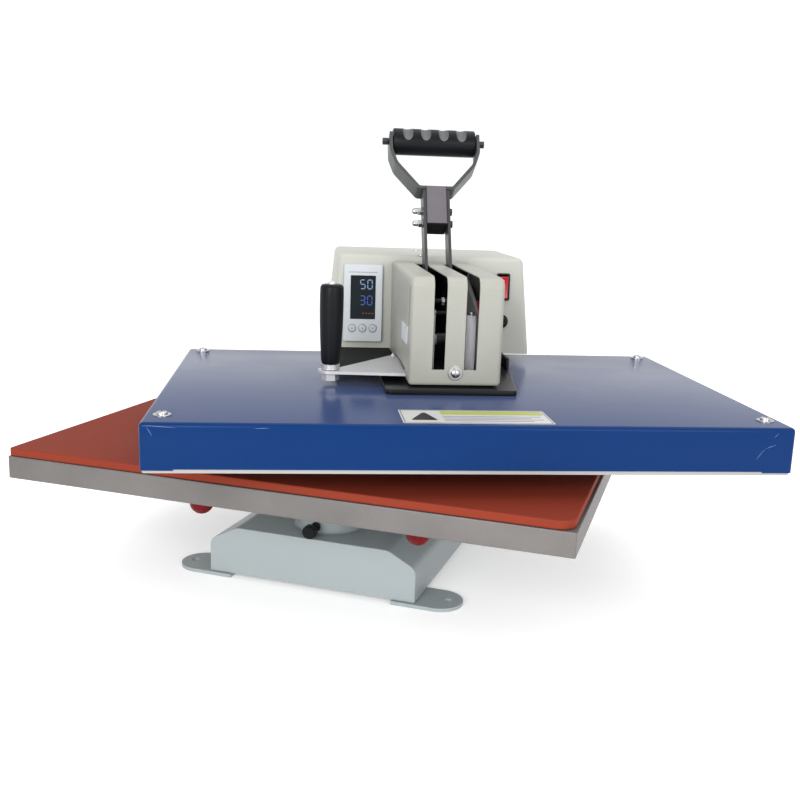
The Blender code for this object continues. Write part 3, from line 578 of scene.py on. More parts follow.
# --- base ---
def make_base():
    """Folded base, feet, column, carrier, lock knob and clamp knobs."""
    low, high = span("base_shell", BASE)
    slope_w, slope_h = 0.032, 0.017
    wall = 0.002

    def section(side, bottom, roof, shoulder, corner, bends):
        """The base's outline from the front, symmetrical, with six rounded corners."""
        half = [(high.x - side, bottom), (high.x - side, high.z - slope_h - shoulder),
            (high.x - slope_w - corner, high.z - roof)]
        other = [(low.x + side, bottom), (low.x + side, high.z - slope_h - shoulder),
            (low.x + slope_w + corner, high.z - roof)]
        return rounded_outline([other[0]] + half + other[:0:-1], [0, 0] + bends + bends[::-1])

    shell = plate_object("folded_base", [section(0, low.z, 0, 0, 0, [0.012, 0.017])], -high.y, -low.y,
        "XZ")
    inner = section(wall, low.z - 0.01, wall, wall / 2, wall / 2, [0.010, 0.015])
    carve(shell, [plate_object("hollow", [inner], -high.y + wall, -low.y - wall, "XZ")])
    soften(shell, 0.0009, 3, 50)
    finish_piece(shell, GREY, BASE, "base", slot="grey_paint", node="base_shell")

    for end in ("front", "rear"):
        for side, way in (("left", -1), ("right", 1)):
            name = end + "_" + side
            low, high, centre = extent("foot_plate_" + name, BASE)
            half = (high.y - low.y) / 2
            inner_x = high.x if way < 0 else low.x
            tip = (low.x + half) if way < 0 else (high.x - half)
            outline = [(inner_x, centre.y - way * half)]
            outline += arc((tip, centre.y), half, -90 * way, -90 * way + 180, 28)
            outline += [(inner_x, centre.y + way * half)]
            hole = circle((way * 0.153, centre.y), 0.0045)
            plate("foot_" + name, [outline, hole], low.z, high.z, "XY", GREY, BASE, "base", 0.0008,
                slot="grey_paint", node="foot_plate_" + name)

    low, high, centre = extent("platen_column", BASE)
    radius = (high.x - low.x) / 2 - 0.003
    weld = arc((radius + 0.004, low.z + 0.004), 0.004, 180, 270, 6)
    turned("column", [(0, high.z), (radius - 0.002, high.z), (radius, high.z - 0.002)] + weld +
        [(0, low.z)], GREY, at(BASE, 0, centre.y), "base", 72, slot="grey_paint", node="platen_column")
    keep("platen_carrier", GREY, 0.0008)
    make_knobs()


def make_knobs():
    """The black lock knob in the column and the red clamp knobs under the carrier."""
    low, high, centre = extent("platen_lock_knob", BASE)
    height = high.y - low.y
    knurl = 0.0077
    profile = [(0, 0), (0.0066, 0), (knurl, -0.0011), (knurl, -0.0078), (0.0064, -0.0092),
        (0.0031, -0.0100), (0.0031, -0.0200), (0.0050, -0.0208), (0.0053, -0.0214), (0.0053, -0.0224),
        (0.0044, -0.0230), (0.0030, -0.0232), (0.0030, -height), (0, -height)]
    bm = bmesh.new()
    rings = lathe(bm, profile, 48)
    for ring in rings[2:4]:
        for i, vertex in enumerate(ring):
            if i % 4 < 2:
                vertex.co.xy *= 0.955
    piece("lock_knob", bm, BLACK_PLASTIC, at(BASE, centre.x, low.y, centre.z, "-Y"), "lock_knob",
        slot="black_plastic", node="platen_lock_knob")
    for side in ("left", "right"):
        low, high, centre = extent("clamp_knob_" + side, BASE)
        radius = (high.x - low.x) / 2
        dome = arc((0, radius), radius, 0, -90, 10)[:-1] + [(0, 0)]
        top = high.z - low.z
        profile = [(0, top), (0.0036, top), (0.0036, top - 0.0062), (0.0086, top - 0.0064),
            (0.0090, top - 0.0070), (0.0090, radius + 0.014), (0.0096, radius + 0.0132),
            (0.0120, radius + 0.012), (0.0133, radius + 0.009), (0.0135, radius + 0.004)] + dome
        turned("red_knob_" + side, profile, RED_KNOB, at(BASE, centre.x, centre.y, low.z),
            "clamp_" + side, 56, slot="red_plastic", node="clamp_knob_" + side)


def make_lower_platen():
    """The sawn aluminium platen with its silicone pad, and the post that carries the head."""
    low, high = span("lower_platen", BASE)
    plate("aluminium_platen", [rectangle(low.xy, high.xy, 0.002, 4)], low.z, high.z, "XY", ALUMINIUM,
        BASE, "base", 0.0009, slot="aluminium", node="lower_platen")
    low, high = span("silicone_pad", BASE)
    right = high.x + 0.003
    corners = [(low.x, low.y), (right, low.y + 0.0005), (right, high.y), (low.x, high.y)]
    plate("red_pad", [rounded_outline(corners, [0.004, 0.016, 0.016, 0.004], 8)], low.z, high.z, "XY",
        SILICONE, BASE, "base", 0.0012, slot="silicone", node="silicone_pad")

    place = at(BASE, *middle("swing_post", BASE).xy)
    low, high = span("post_flange", place)
    tube, flange, bore = 0.035, high.x, 0.0233
    fillet = arc((tube + 0.003, low.z + 0.012), 0.003, 180, 270, 5)
    turned("flange", [(bore, high.z), (tube - 0.001, high.z), (tube, high.z - 0.001)] + fillet +
        [(flange - 0.001, low.z + 0.009), (flange, low.z + 0.008), (flange, low.z), (bore, low.z)], GREY,
        place, "base", 72, slot="grey_paint", node="post_flange")
    bm = bmesh.new()
    for x, y in arc((0, 0), 0.0475, 45, 315, 3):
        hexagon(bm, 0.010, 0, 0.004, Matrix.Translation((x, y, low.z + 0.0088)))
    piece("flange_bolts", bm, ZINC, place, "base", slot="bright_steel")
    turned_node("post", "swing_post", 0, (0.002, 0), GROUND_STEEL, place, "base", 72, "bright_steel")
    turned_node("collar", "post_collar", bore, (0.001, 0.001), BLACK_OXIDE, place, "base", 72,
        "dark_steel")


# --- press assembly ---
def make_cover():
    """The blue folded cover with its corner tabs, screws, label and scratches."""
    low, high = span("top_cover", HEAD)
    low.z -= 0.003
    sheet, fold = 0.0015, 0.0042
    tab_h, tab_w = 0.0026, 0.030
    bm = bmesh.new()
    block(bm, (low.x, low.y, low.z + tab_h), high)
    bottom = [face for face in bm.faces if face.normal.z < -0.5]
    bmesh.ops.delete(bm, geom=bottom, context="FACES")
    folds = [edge for edge in bm.edges if not edge.is_boundary]
    bmesh.ops.bevel(bm, geom=folds, offset=fold, offset_type="OFFSET", segments=5, profile=0.5,
        affect="EDGES")
    cover = new_object("blue_cover", bm)
    if outward_share(cover) < 0.5:
        cover.data.flip_normals()
    shell = cover.modifiers.new("sheet", "SOLIDIFY")
    shell.thickness = sheet
    shell.offset = -1
    settle(cover)
    soften(cover, 0.0003, 2, 60)
    finish_piece(cover, BLUE, HEAD, "press", slot="blue_paint", node="top_cover")

    for side, edge, name in ((-1, low.x, "left"), (1, high.x, "right")):
        inner = edge - side * tab_w
        reach = low.y + tab_w
        start = (edge - side * fold, low.y + fold)
        outer = [(inner, low.y)] + arc(start, fold, 270, 270 + side * 90, 6) + [(edge, reach)]
        back = [(edge - side * sheet, reach)]
        back += arc(start, fold - sheet, 270 + side * 90, 270, 6) + [(inner, low.y + sheet)]
        plate("corner_tab_" + name, [outer + back], low.z + 0.0014, low.z + tab_h + 0.0002, "XY", BLUE,
            HEAD, "press", 0.0003, slot="blue_paint")

    inset, trim = 0.0019, 0.004
    plate("platen_edge_trim", [inset_rectangle(low, high, inset, 0.003),
        inset_rectangle(low, high, inset + trim, 0.003)], low.z - 0.0014, low.z + 0.006, "XY", CREAM,
        HEAD, "press", 0.0004, slot="mica")

    for end, reach, y in (("front", 0.289, -0.462), ("rear", 0.2865, -0.096)):
        for side, x in (("left", -reach), ("right", reach)):
            pan_screw(f"cover_screw_{end}_{side}", at(HEAD, x, y, high.z), 0.0052, 0.0030, 0.0085,
                body="press")
    make_label(high.z)
    make_scratches(low, high)


def outward_share(obj):
    """Share of an object's faces that point away from its middle."""
    centre = sum((v.co for v in obj.data.vertices), Vector()) / len(obj.data.vertices)
    away = sum(1 for p in obj.data.polygons if p.normal.dot(p.center - centre) > 0)
    return away / len(obj.data.polygons)


def make_label(level):
    """A plain label on the cover: silver film, a coloured header bar and blank lines."""
    low, high = Vector((-0.069, -0.485)), Vector((0.074, -0.430))

    def layer(name, outlines, mat, thick=0.00028):
        plate(name, outlines, level, level + thick, "XY", mat, HEAD, "press")

    layer("label", [rectangle(low, high, 0.002)], LABEL_SILVER, 0.0002)
    text = low.x + 0.040
    layer("label_header", [rectangle((text, high.y - 0.020), (high.x - 0.004, high.y - 0.004), 0.001)],
        LABEL_YELLOW)
    for i in range(4):
        y = high.y - 0.027 - 0.006 * i
        end = high.x - 0.008 - 0.010 * (i % 2)
        layer(f"label_line_{i + 1}", [rectangle((text, y - 0.0011), (end, y + 0.0011), 0.0005)],
            PRINT_GREY)
    triangle = [(low.x + 0.008, low.y + 0.012), (low.x + 0.034, low.y + 0.012),
        (low.x + 0.024, high.y - 0.008)]
    layer("label_triangle", [rounded_outline(triangle, 0.002, 3)], BLACK_PLASTIC)
    layer("label_border", [inset_rectangle(low, high, 0.0015, 0.001), inset_rectangle(low, high, 0.0022,
        0.001)], BLACK_PLASTIC)


def make_scratches(low, high):
    """Thin scratches through the enamel near the front corners, as (x, depth below the top)."""
    marks = [((-0.299, 0.003), (-0.293, 0.013)), ((-0.303, 0.002), (-0.272, 0.0045)),
        ((-0.205, 0.0045), (-0.190, 0.0040)), ((0.268, 0.031), (0.276, 0.020)),
        ((0.276, 0.020), (0.287, 0.016)), ((0.284, 0.009), (0.288, 0.005))]
    steps = 6
    bm = bmesh.new()
    for mark in marks:
        start, end = (Vector((x, low.y - 0.00002, high.z - depth)) for x, depth in mark)
        side = Vector((0, -1, 0)).cross(end - start).normalized() * 0.00016
        for i in range(steps):
            a, b = start.lerp(end, i / steps), start.lerp(end, (i + 1) / steps)
            wide_a = side * math.sin(math.pi * i / steps)
            wide_b = side * math.sin(math.pi * (i + 1) / steps)
            quad = [a - wide_a, b - wide_b, b + wide_b, a + wide_a]
            prism(bm, quad, [point + Vector((0, 0.00001, 0)) for point in quad])
    bmesh.ops.remove_doubles(bm, verts=bm.verts, dist=1e-7)
    piece("cover_scratches", bm, SCRATCH, HEAD, "press")


def make_press_top():
    """Black mounting plate with its flanges, and what the cover hides."""
    low, high = span("mounting_plate", HEAD)
    top = 0.2303
    left, right = low.x - 0.0015, high.x - 0.0085
    wide = high.x + 0.010
    outline = [(left, low.y), (right, low.y), (wide, low.y + 0.122), (wide, high.y), (left, high.y)]
    slab = plate_object("black_plate", [rounded_outline(outline, [0.006, 0.006, 0.004, 0.006, 0.006])],
        low.z, top)
    soften(slab, 0.0014)
    settle(slab)
    flanges = []
    for near, front, level in ((-0.0545, -0.188, top + 0.0035), (0.0505, -0.222, high.z),
        (wide - 0.0045, -0.232, high.z)):
        flange = block_object("flange", (near, front, top - 0.002), (near + 0.004, -0.132, level))
        soften(flange, 0.0008, 2)
        flanges.append(flange)
    carve(slab, flanges, "UNION")
    finish_piece(slab, BLACK_GLOSS, HEAD, "press", slot="black_paint", node="mounting_plate")
    keep("crosshead", BLACK_OXIDE, 0.0008)
    keep("heat_platen", ALUMINIUM)
    keep("heating_element", MICA)
    for side in ("left", "right"):
        node = "guide_rod_" + side
        place = at(HEAD, *middle(node, HEAD).xy)
        turned_node("guide_" + side, node, 0, (0.0006, 0), ZINC, place, "press", 36, "bright_steel")


# --- head ---
def make_mechanism_cover():
    """The beige hood with its two lever slots, its screw and the plate on its side."""
    low, high = span("mechanism_cover", HEAD)
    sheet = 0.0015
    bend = 0.012

    def profile(front, top, bottom, back, radius):
        rise = back + 0.0089 * (top - bottom) / 0.1135
        nose = arc((front + radius, top - radius), radius, 180, 90, 8)
        return [(front, bottom)] + nose + [(rise, top), (back, bottom)]

    back = span("control_box_shell", HEAD)[0].y - 0.0006
    low.z -= 0.0025
    hood = plate_object("beige_hood", [profile(low.y, high.z, low.z, back, bend)], low.x, high.x, "YZ")
    soften(hood, 0.0050, 5, 45)
    settle(hood)
    inner = plate_object("hollow", [profile(low.y + sheet, high.z - sheet, low.z - 0.02, back + 0.03,
        bend - sheet)], low.x + sheet, high.x - sheet, "YZ")
    soften(inner, 0.0036, 3, 45)
    settle(inner)
    carve(hood, [inner])
    half = 0.00675
    slots = [block_object("slot", (x - half, low.y - 0.02, 0.249), (x + half, -0.152, high.z + 0.02)) for
        x in (-0.0184, 0.0158)]
    slots.append(block_object("side_slot", (low.x - 0.01, -0.334, 0.294), (low.x + 0.01, -0.321, 0.336)))
    carve(hood, slots)
    soften(hood, 0.00045, 2, 62)
    finish_piece(hood, BEIGE, HEAD, "head", slot="beige_paint", node="mechanism_cover")

    rear, centre = extent("housing_screw", HEAD)[1:]
    pan_screw("hood_screw", at(HEAD, centre.x, rear.y, centre.z, "-Y"), 0.0050, 0.0040, 0.0078,
        "housing_screw")
    plate("hood_side_plate", [rectangle((-0.320, 0.2715), (-0.266, 0.2905), 0.002)], low.x - 0.0008,
        low.x + 0.0002, "YZ", WHITE_PLASTIC, HEAD, "head", 0.0003, slot="white_plastic")


def make_frame():
    """What shows through the hood's slots."""
    for side, mat in (("left", BLACK_GLOSS), ("right", SATIN_ZINC)):
        keep("frame_side_" + side, mat, 0.0006)
        keep("lever_pivot_pin_" + side, ZINC, 0.0004)
        node = "guide_sleeve_" + side
        place = at(HEAD, *middle(node, HEAD).xy)
        turned_node("sleeve_" + side, node, 0.0039, (0.0007, 0.0005), PALE_STEEL, place, "head", 40,
            "bright_steel")
    keep("frame_cross_plate", BLACK_GLOSS)
    bm = bmesh.new()
    lathe(bm, [(0, 0.026), (0.0011, 0.0255), (0.0011, 0), (0, 0)], 20)
    lead = at(HEAD, 0.0272, -0.3290, 0.2960) @ Matrix.Rotation(math.radians(-9), 4, "Y")
    piece("red_sensor_lead", bm, RED_KNOB, lead, "head")
    keep("hub_bush_lower", BRONZE)
    keep("hub_bush_upper", BRONZE)
    turned_node("hub", "swing_hub", 0.027, (0.002, 0.002), BLACK_GLOSS, HEAD, "head", 72, "black_paint")


def tapered_object(name, half_w, front, rear, level, offset=0.002):
    """A block whose top is narrower and whose front leans back: (bottom, top) pairs."""
    obj = block_object(name, (-1, -1, 0), (1, 1, 1))
    for vertex in obj.data.vertices:
        end = 1 if vertex.co.z > 0.5 else 0
        vertex.co = (math.copysign(half_w[end], vertex.co.x) + offset, front[end] if vertex.co.y < 0 else
            rear, level[end])
    return obj


def make_control_box():
    """The beige control box (its coat painted lighter than the hood's: painted light) with its floor,
    whose tongue is painted shade, and its controller, switch, fuse and gland.
    """
    low, high = span("control_box_shell", HEAD)
    low.z -= 0.003
    half_w = (high.x + 0.003, high.x - 0.0095)
    front = (low.y, low.y + 0.010)
    sheet = 0.0015
    below = low.z - 0.008
    shell = tapered_object("beige_box", half_w, front, high.y, (below, high.z))
    soften(shell, 0.0065, 6, 30)
    settle(shell)
    carve(shell, [block_object("lower_trim", (-0.2, -0.2, below - 0.01), (0.2, 0.2, low.z))])
    hollow = tapered_object("hollow", [w - sheet for w in half_w], [y + sheet for y in front],
        high.y - sheet, (low.z - 0.014, high.z - sheet))
    soften(hollow, 0.005, 4, 30)
    settle(hollow)
    mouth = block_object("mouth", (-0.048, -0.15, 0.22), (0.048, -0.10, 0.3435))
    carve(shell, [hollow, mouth])
    holes = [cutter_in_face("rocker_hole", "power_switch_frame", 0.0019, 0.0075),
        cutter_in_face("fuse_hole", "fuse_holder", 0.0022)]
    carve(shell, holes)
    soften(shell, 0.0003, 2, 65)
    # the shell's beige is painted lighter than the hood's: painted light in the colour
    finish_piece(shell, BEIGE_PAINTED_LIGHTER, HEAD, "head", slot="beige_paint", node="control_box_shell")
    make_box_floor_and_shade_tongue(low.z)
    for i, (x, z) in enumerate(((-0.112, 0.252), (0.112, 0.252), (-0.106, 0.340), (0.106, 0.340))):
        pan_screw(f"box_rear_screw_{i + 1}", at(HEAD, x, high.y, z, "Y"), 0.0036, 0.0022)
    for i, (x, y) in enumerate(((-0.0070, -0.012), (-0.0125, -0.112))):
        pan_screw(f"box_top_screw_{i + 1}", at(HEAD, x, y, high.z), 0.0034, 0.0020)
    make_vents(high)
    plate("blank_rating_plate", [rectangle((-0.050, 0.248), (-0.010, 0.274), 0.002)], -high.y - 0.0006,
        -high.y + 0.0002, "XZ", LABEL_SILVER, HEAD, "head", 0.0002)
    make_controller()
    make_switch()
    make_fuse_and_gland()


def make_box_floor_and_shade_tongue(level):
    """The black floor under the box, and its tongue running forward below the handle's arm: the tongue is
    a matt black sheet of painted shade, laid where the gap under the box and the arm lies in shadow.
    """
    low, high = span("control_box_floor", HEAD)
    arm = span("handle_arm", HEAD)[0]
    # the tongue, from x -0.1225 to -0.0505 and forward to y -0.294, is painted shade; the rest is the
    # box's real floor
    outline = [(low.x, low.y + 0.001), (-0.1225, low.y + 0.001), (-0.1225, -0.2940), (-0.0505, -0.2050),
        (-0.0505, low.y + 0.001), (high.x, low.y + 0.001), (high.x, high.y), (low.x, high.y)]
    radii = [0.002, 0.0005, 0.004, 0.004, 0.001, 0.004, 0.004, 0.004]
    plate("black_floor_and_shade_tongue", [rounded_outline(outline, radii)], level + 0.0012,
        min(arm.z - 0.0003, level + 0.006), "XY", BLACK_MATT, HEAD, "head", 0.0005, slot="black_paint",
        node="control_box_floor")


def cutter_in_face(name, node, inset, trim=0.0):
    """A block, in head coordinates, that cuts a node's seat out of the box's front."""
    low, high = span(node, FACE)
    low.x += trim
    cutter = block_object(name, (low.x + inset, -0.01, low.z + inset),
        (high.x - inset, 0.01, high.z - inset))
    cutter.matrix_world = HEAD.inverted() @ FACE
    return cutter


def make_vents(high):
    """Rows of raised louvres on the back of the box."""
    bm = bmesh.new()
    for row in range(2):
        for column in range(6):
            x = -0.070 + 0.019 * column
            z = 0.290 + 0.022 * row
            angles = [math.pi * k / 8 for k in range(9)]
            swell = [(high.y + 0.0016 * math.sin(a), z + 0.0028 * math.cos(a)) for a in angles]
            prism(bm, [(x, *point) for point in swell], [(x + 0.012, *point) for point in swell])
    # the louvres take the box's coat, painted lighter than the hood's: painted light
    piece("box_louvres", bm, BEIGE_PAINTED_LIGHTER, HEAD, "head", slot="beige_paint")


SEGMENTS = {"0": "abcdef", "3": "abcdg", "5": "acdfg"}


def digit(bm, symbol, x, z, width, height, stroke, depth):
    """A seven-segment digit, its lower left corner at (x, z), as small bars."""
    half = stroke / 2
    lines = {"a": ((0, height), (width, height)), "d": ((0, 0), (width, 0)),
        "g": ((0, height / 2), (width, height / 2)), "b": ((width, height / 2), (width, height)),
        "c": ((width, 0), (width, height / 2)), "e": ((0, 0), (0, height / 2)),
        "f": ((0, height / 2), (0, height))}
    for key in SEGMENTS[symbol]:
        start, end = (Vector(point) for point in lines[key])
        along = (end - start).normalized()
        across = Vector((-along.y, along.x)) * half
        along *= half
        a, b = start + along * 0.6, end - along * 0.6
        outline = [a, a + along + across, b - along + across, b, b - along - across, a + along - across]
        prism(bm, [(x + p.x, depth, z + p.y) for p in outline],
            [(x + p.x, depth + 0.0002, z + p.y) for p in outline])


def make_controller():
    """White bezel, tinted window with lit digits, and the three buttons."""
    low, high = span("controller_bezel", FACE)
    glass_low, glass_high = span("display_window", FACE)
    outline = rectangle((low.x, low.z), (high.x, high.z), 0.0025, 8)
    glass = inset_rectangle(glass_low.xz, glass_high.xz, 0, 0.0008, 4)
    window = inset_rectangle(glass_low.xz, glass_high.xz, -0.0003, 0.0009, 4)
    buttons = {"set_button": 90, "down_button": 180, "up_button": 0}
    holes = [circle(middle(name, FACE).xz, 0.0052) for name in buttons]
    plate("white_bezel", [outline, window] + holes, -high.y, -low.y, "XZ", WHITE_PLASTIC, FACE, "head",
        0.0004, slot="white_plastic", node="controller_bezel")
    plate("tinted_glass", [glass], -glass_high.y, -glass_low.y, "XZ", DISPLAY, FACE, "head", 0.0002,
        slot="display", node="display_window")
    depth = glass_low.y - 0.0002
    tall, wide, gap = 0.0110, 0.0056, 0.0034
    for name, text, drop, mat in (("upper", "50", 0.0052, DIGIT_PALE),
        ("lower", "30", 0.0252, DIGIT_BLUE)):
        bm = bmesh.new()
        for i, symbol in enumerate(text):
            x = glass_high.x - 0.0042 - (2 - i) * wide - (1 - i) * gap
            digit(bm, symbol, x, glass_high.z - drop - tall, wide, tall, 0.0012, depth)
        piece("digits_" + name, bm, mat, FACE, "head")
    bm = bmesh.new()
    for i in range(4):
        x = glass_high.x - 0.0030 - 0.0040 * i
        bar(bm, (x, depth, glass_low.z + 0.0070), (0.0024, 0.0003, 0.0018))
    piece("status_lights", bm, LED_RED, FACE, "head")
    bm = bmesh.new()
    for i in range(15):
        x = low.x + 0.0070 + 0.0024 * i
        bar(bm, (x, low.y - 0.00002, high.z - 0.0096), (0.0015, 0.00012, 0.0011))
    piece("bezel_dashes", bm, PRINT_GREY, FACE, "head")
    for name, turn in buttons.items():
        make_button(name, turn)


def make_button(name, turn):
    """A round white button with a grey rim line and a small arrow."""
    low, high, centre = extent(name, FACE)
    radius = (high.x - low.x) / 2
    depth = high.y - low.y
    place = at(FACE, centre.x, high.y, centre.z, "-Y")
    cap = [(0, depth - 0.0002), (radius * 0.45, depth - 0.0001), (radius - 0.0010, depth - 0.0001),
        (radius - 0.0003, depth - 0.0005), (radius, depth - 0.0012), (radius, 0), (0, 0)]
    turned(name + "_cap", cap, WHITE_PLASTIC, place, name, 40, slot="white_plastic", node=name)
    rim = radius - 0.0012
    line = [(rim, depth), (rim, depth - 0.0002), (rim - 0.0003, depth - 0.0002), (rim - 0.0003, depth)]
    turned(name + "_rim", line, PRINT_GREY, place, name, 40)
    shaft, head = 0.00035, 0.0012
    outline = [(-shaft, -0.0016), (shaft, -0.0016), (shaft, 0.0003), (head, 0.0003), (0, 0.0017),
        (-head, 0.0003), (-shaft, 0.0003)]
    points = [Matrix.Rotation(math.radians(turn), 2) @ Vector(point) for point in outline]
    bm = bmesh.new()
    prism(bm, [(*point, depth + 0.00002) for point in points],
        [(*point, depth - 0.0003) for point in points])
    piece(name + "_arrow", bm, PRINT_GREY, place, name)


def make_switch():
    """The switch frame and its lit rocker."""
    low, high = span("power_switch_frame", FACE)
    low.x += 0.0075
    border = 0.0020
    outline = rectangle((low.x, low.z), (high.x, high.z), 0.002, 6)
    opening = inset_rectangle(low.xz, high.xz, border, 0.001, 4)
    plate("switch_frame", [outline, opening], -high.y, -low.y, "XZ", BLACK_PLASTIC, FACE, "head", 0.0005,
        slot="black_plastic", node="power_switch_frame")
    pivot = Vector(JOINTS["rocker_tilt"]["pos_m"])
    tilt = Matrix.Rotation(math.radians(7), 4, "X")
    place = Matrix.Translation(pivot) @ FACE.to_3x3().to_4x4() @ tilt
    reach = 0.0137
    middle_x, half_w = 0.00375, (high.x - low.x) / 2 - border - 0.0003
    dish = [(0.0020, -0.009), (0.0020, 0.009), (-0.0040, reach), (-0.0076, reach)]
    steps = 10
    for i in range(1, steps):
        z = reach - 2 * reach * i / steps
        dish.append((-0.0076 + 0.0014 * (1 - (z / reach) ** 2), z))
    dish += [(-0.0076, -reach), (-0.0040, -reach)]
    rocker = plate_object("lit_rocker", [dish], middle_x - half_w, middle_x + half_w, "YZ")
    soften(rocker, 0.0006, 3, 40)
    finish_piece(rocker, ROCKER_RED, place, "rocker", slot="red_plastic", node="power_rocker")
    bm = bmesh.new()
    bar(bm, (middle_x, -0.00745, 0.0080), (0.0008, 0.0003, 0.0036))
    piece("rocker_mark", bm, WHITE_PLASTIC, place, "rocker")


def make_fuse_and_gland():
    """The fuse holder with its slotted cap, and the gland at the back."""
    low, high, centre = extent("fuse_holder", FACE)
    radius = (high.x - low.x) / 2
    depth = high.y - low.y
    place = at(FACE, centre.x, high.y, centre.z, "-Y")
    turned("fuse_ring", [(0.0065, depth), (radius - 0.0016, depth), (radius - 0.0004, depth - 0.0006),
        (radius, depth - 0.0014), (radius, 0), (0.0065, 0)], BLACK_PLASTIC, place, "head", 56,
        slot="black_plastic", node="fuse_holder")
    low, high = span("fuse_cap", FACE)
    radius = (high.x - low.x) / 2
    depth = high.y - low.y
    bm = bmesh.new()
    rings = lathe(bm, [(0, depth), (radius - 0.0014, depth), (radius - 0.0002, depth - 0.0010),
        (radius, depth - 0.0018), (radius, 0.004), (radius, 0), (0, 0)], 48)
    for ring in rings[2:4]:
        for i, vertex in enumerate(ring):
            if i % 4 == 0:
                vertex.co.xy *= 0.95
    cap = new_object("fuse_cap_slotted", bm)
    carve(cap, [block_object("slot", (-0.0042, -0.0007, depth - 0.0014), (0.0042, 0.0007, depth + 0.01))])
    finish_piece(cap, BLACK_PLASTIC, at(FACE, centre.x, high.y, centre.z, "-Y"), "fuse",
        slot="black_plastic", node="fuse_cap")
    low, high, centre = extent("cable_gland", HEAD)
    radius = (high.x - low.x) / 2
    length = high.y - low.y
    bm = bmesh.new()
    lathe(bm, [(0, length - 0.004), (0.0032, length - 0.004), (0.0038, length), (0.0048, length),
        (0.0058, length - 0.002), (0.0066, length - 0.006), (0.0074, 0.0090), (0.0074, 0.0050),
        (radius, 0.0042), (radius, 0), (0, 0)], 48)
    hexagon(bm, 0.0165, 0.0042, 0.0095)
    piece("rear_gland", bm, BLACK_PLASTIC, at(HEAD, centre.x, low.y, centre.z, "Y"), "head",
        slot="black_plastic", node="cable_gland")


def make_side_handle():
    """Silver arm, knurled ferrule, spindle, turning grip and the thin wire beside it."""
    low, high = span("handle_arm", HEAD)
    spindle = middle("handle_spindle", HEAD)
    tip_r = 0.0135
    outline = [(high.x, -0.322), (high.x, -0.195)] + arc(spindle.xy, tip_r, 52, 270, 32)
    plate("silver_arm", [outline, circle(spindle.xy, 0.0043)], low.z, high.z, "XY", SATIN_ZINC, HEAD,
        "head", 0.0006, slot="bright_steel", node="handle_arm")
    low, high = span("handle_ferrule", HEAD)
    place = at(HEAD, spindle.x, spindle.y)
    bm = bmesh.new()
    teeth = 56
    rows = 9
    radius = (high.x - low.x) / 2
    profile = [(0.0043, high.z), (radius - 0.0008, high.z)]
    profile += [(radius, high.z + (low.z - high.z) * (i + 0.5) / rows) for i in range(rows)]
    profile += [(radius - 0.0008, low.z), (0.0043, low.z)]
    rings = lathe(bm, profile + [profile[0]], teeth * 2)
    for k, ring in enumerate(rings[2:2 + rows]):
        for i, vertex in enumerate(ring):
            if (i + k) % 2:
                vertex.co.xy *= 0.955
    bmesh.ops.remove_doubles(bm, verts=bm.verts, dist=1e-7)
    piece("knurled_ferrule", bm, SATIN_ZINC, place, "head", slot="bright_steel", node="handle_ferrule",
        sharp=20)
    low, high = span("handle_spindle", HEAD)
    bm = bmesh.new()
    top = high.z
    grip_top = span("handle_grip", HEAD)[1].z + 0.0003
    lathe(bm,
        [(0, top)] + [(0.0048 * math.sin(math.radians(a)), grip_top + (top - grip_top) *
        math.cos(math.radians(a))) for a in range(15, 91, 15)] + [(0.0040, grip_top),
        (0.0040, low.z + 0.011), (0.0036, low.z + 0.0106), (0.0036, low.z + 0.0002), (0, low.z)], 36)
    hexagon(bm, 0.0165, low.z + 0.0012, low.z + 0.0097)
    piece("spindle_and_nut", bm, SATIN_ZINC, place, "head", slot="bright_steel", node="handle_spindle")
    low, high = span("handle_grip", HEAD)
    shape = [(0.0043, high.z), (0.0090, high.z), (0.0108, high.z - 0.0006), (0.0121, high.z - 0.0020),
        (0.0126, high.z - 0.0045), (0.0128, high.z - 0.0120), (0.0128, 0.305), (0.0125, 0.290),
        (0.0119, 0.275), (0.0112, 0.262), (0.0106, 0.252), (0.0101, low.z + 0.002), (0.0092, low.z),
        (0.0043, low.z)]
    turned("black_grip", shape, BLACK_PLASTIC, place, "grip", 72, slot="black_plastic",
        node="handle_grip")
    make_thin_wire()


def make_thin_wire():
    """The short earth wire that leaves the box beside the arm and ends behind the hood's foot."""
    wire = bpy.data.curves.new("earth_wire", "CURVE")
    wire.dimensions = "3D"
    wire.bevel_depth = 0.0005
    wire.bevel_resolution = 3
    wire.use_fill_caps = True
    spline = wire.splines.new("BEZIER")
    route = [(-0.0530, -0.2090, 0.2425), (-0.0535, -0.2300, 0.2465), (-0.0520, -0.2650, 0.2470),
        (-0.0500, -0.3050, 0.2425)]
    spline.bezier_points.add(len(route) - 1)
    for point, spot in zip(spline.bezier_points, route):
        point.co = spot
        point.handle_left_type = "AUTO"
        point.handle_right_type = "AUTO"
    piece("earth_wire", curve_bmesh(wire), BLACK_PLASTIC, HEAD, "head")
    x, y, z = route[0]
    stud = [(0, 0.0034), (0.0012, 0.0032), (0.0022, 0.0024), (0.0025, 0.0010), (0.0025, 0), (0, 0)]
    turned("wire_stud", stud, WHITE_PLASTIC, at(HEAD, x, y, z - 0.0020), "head", 28)


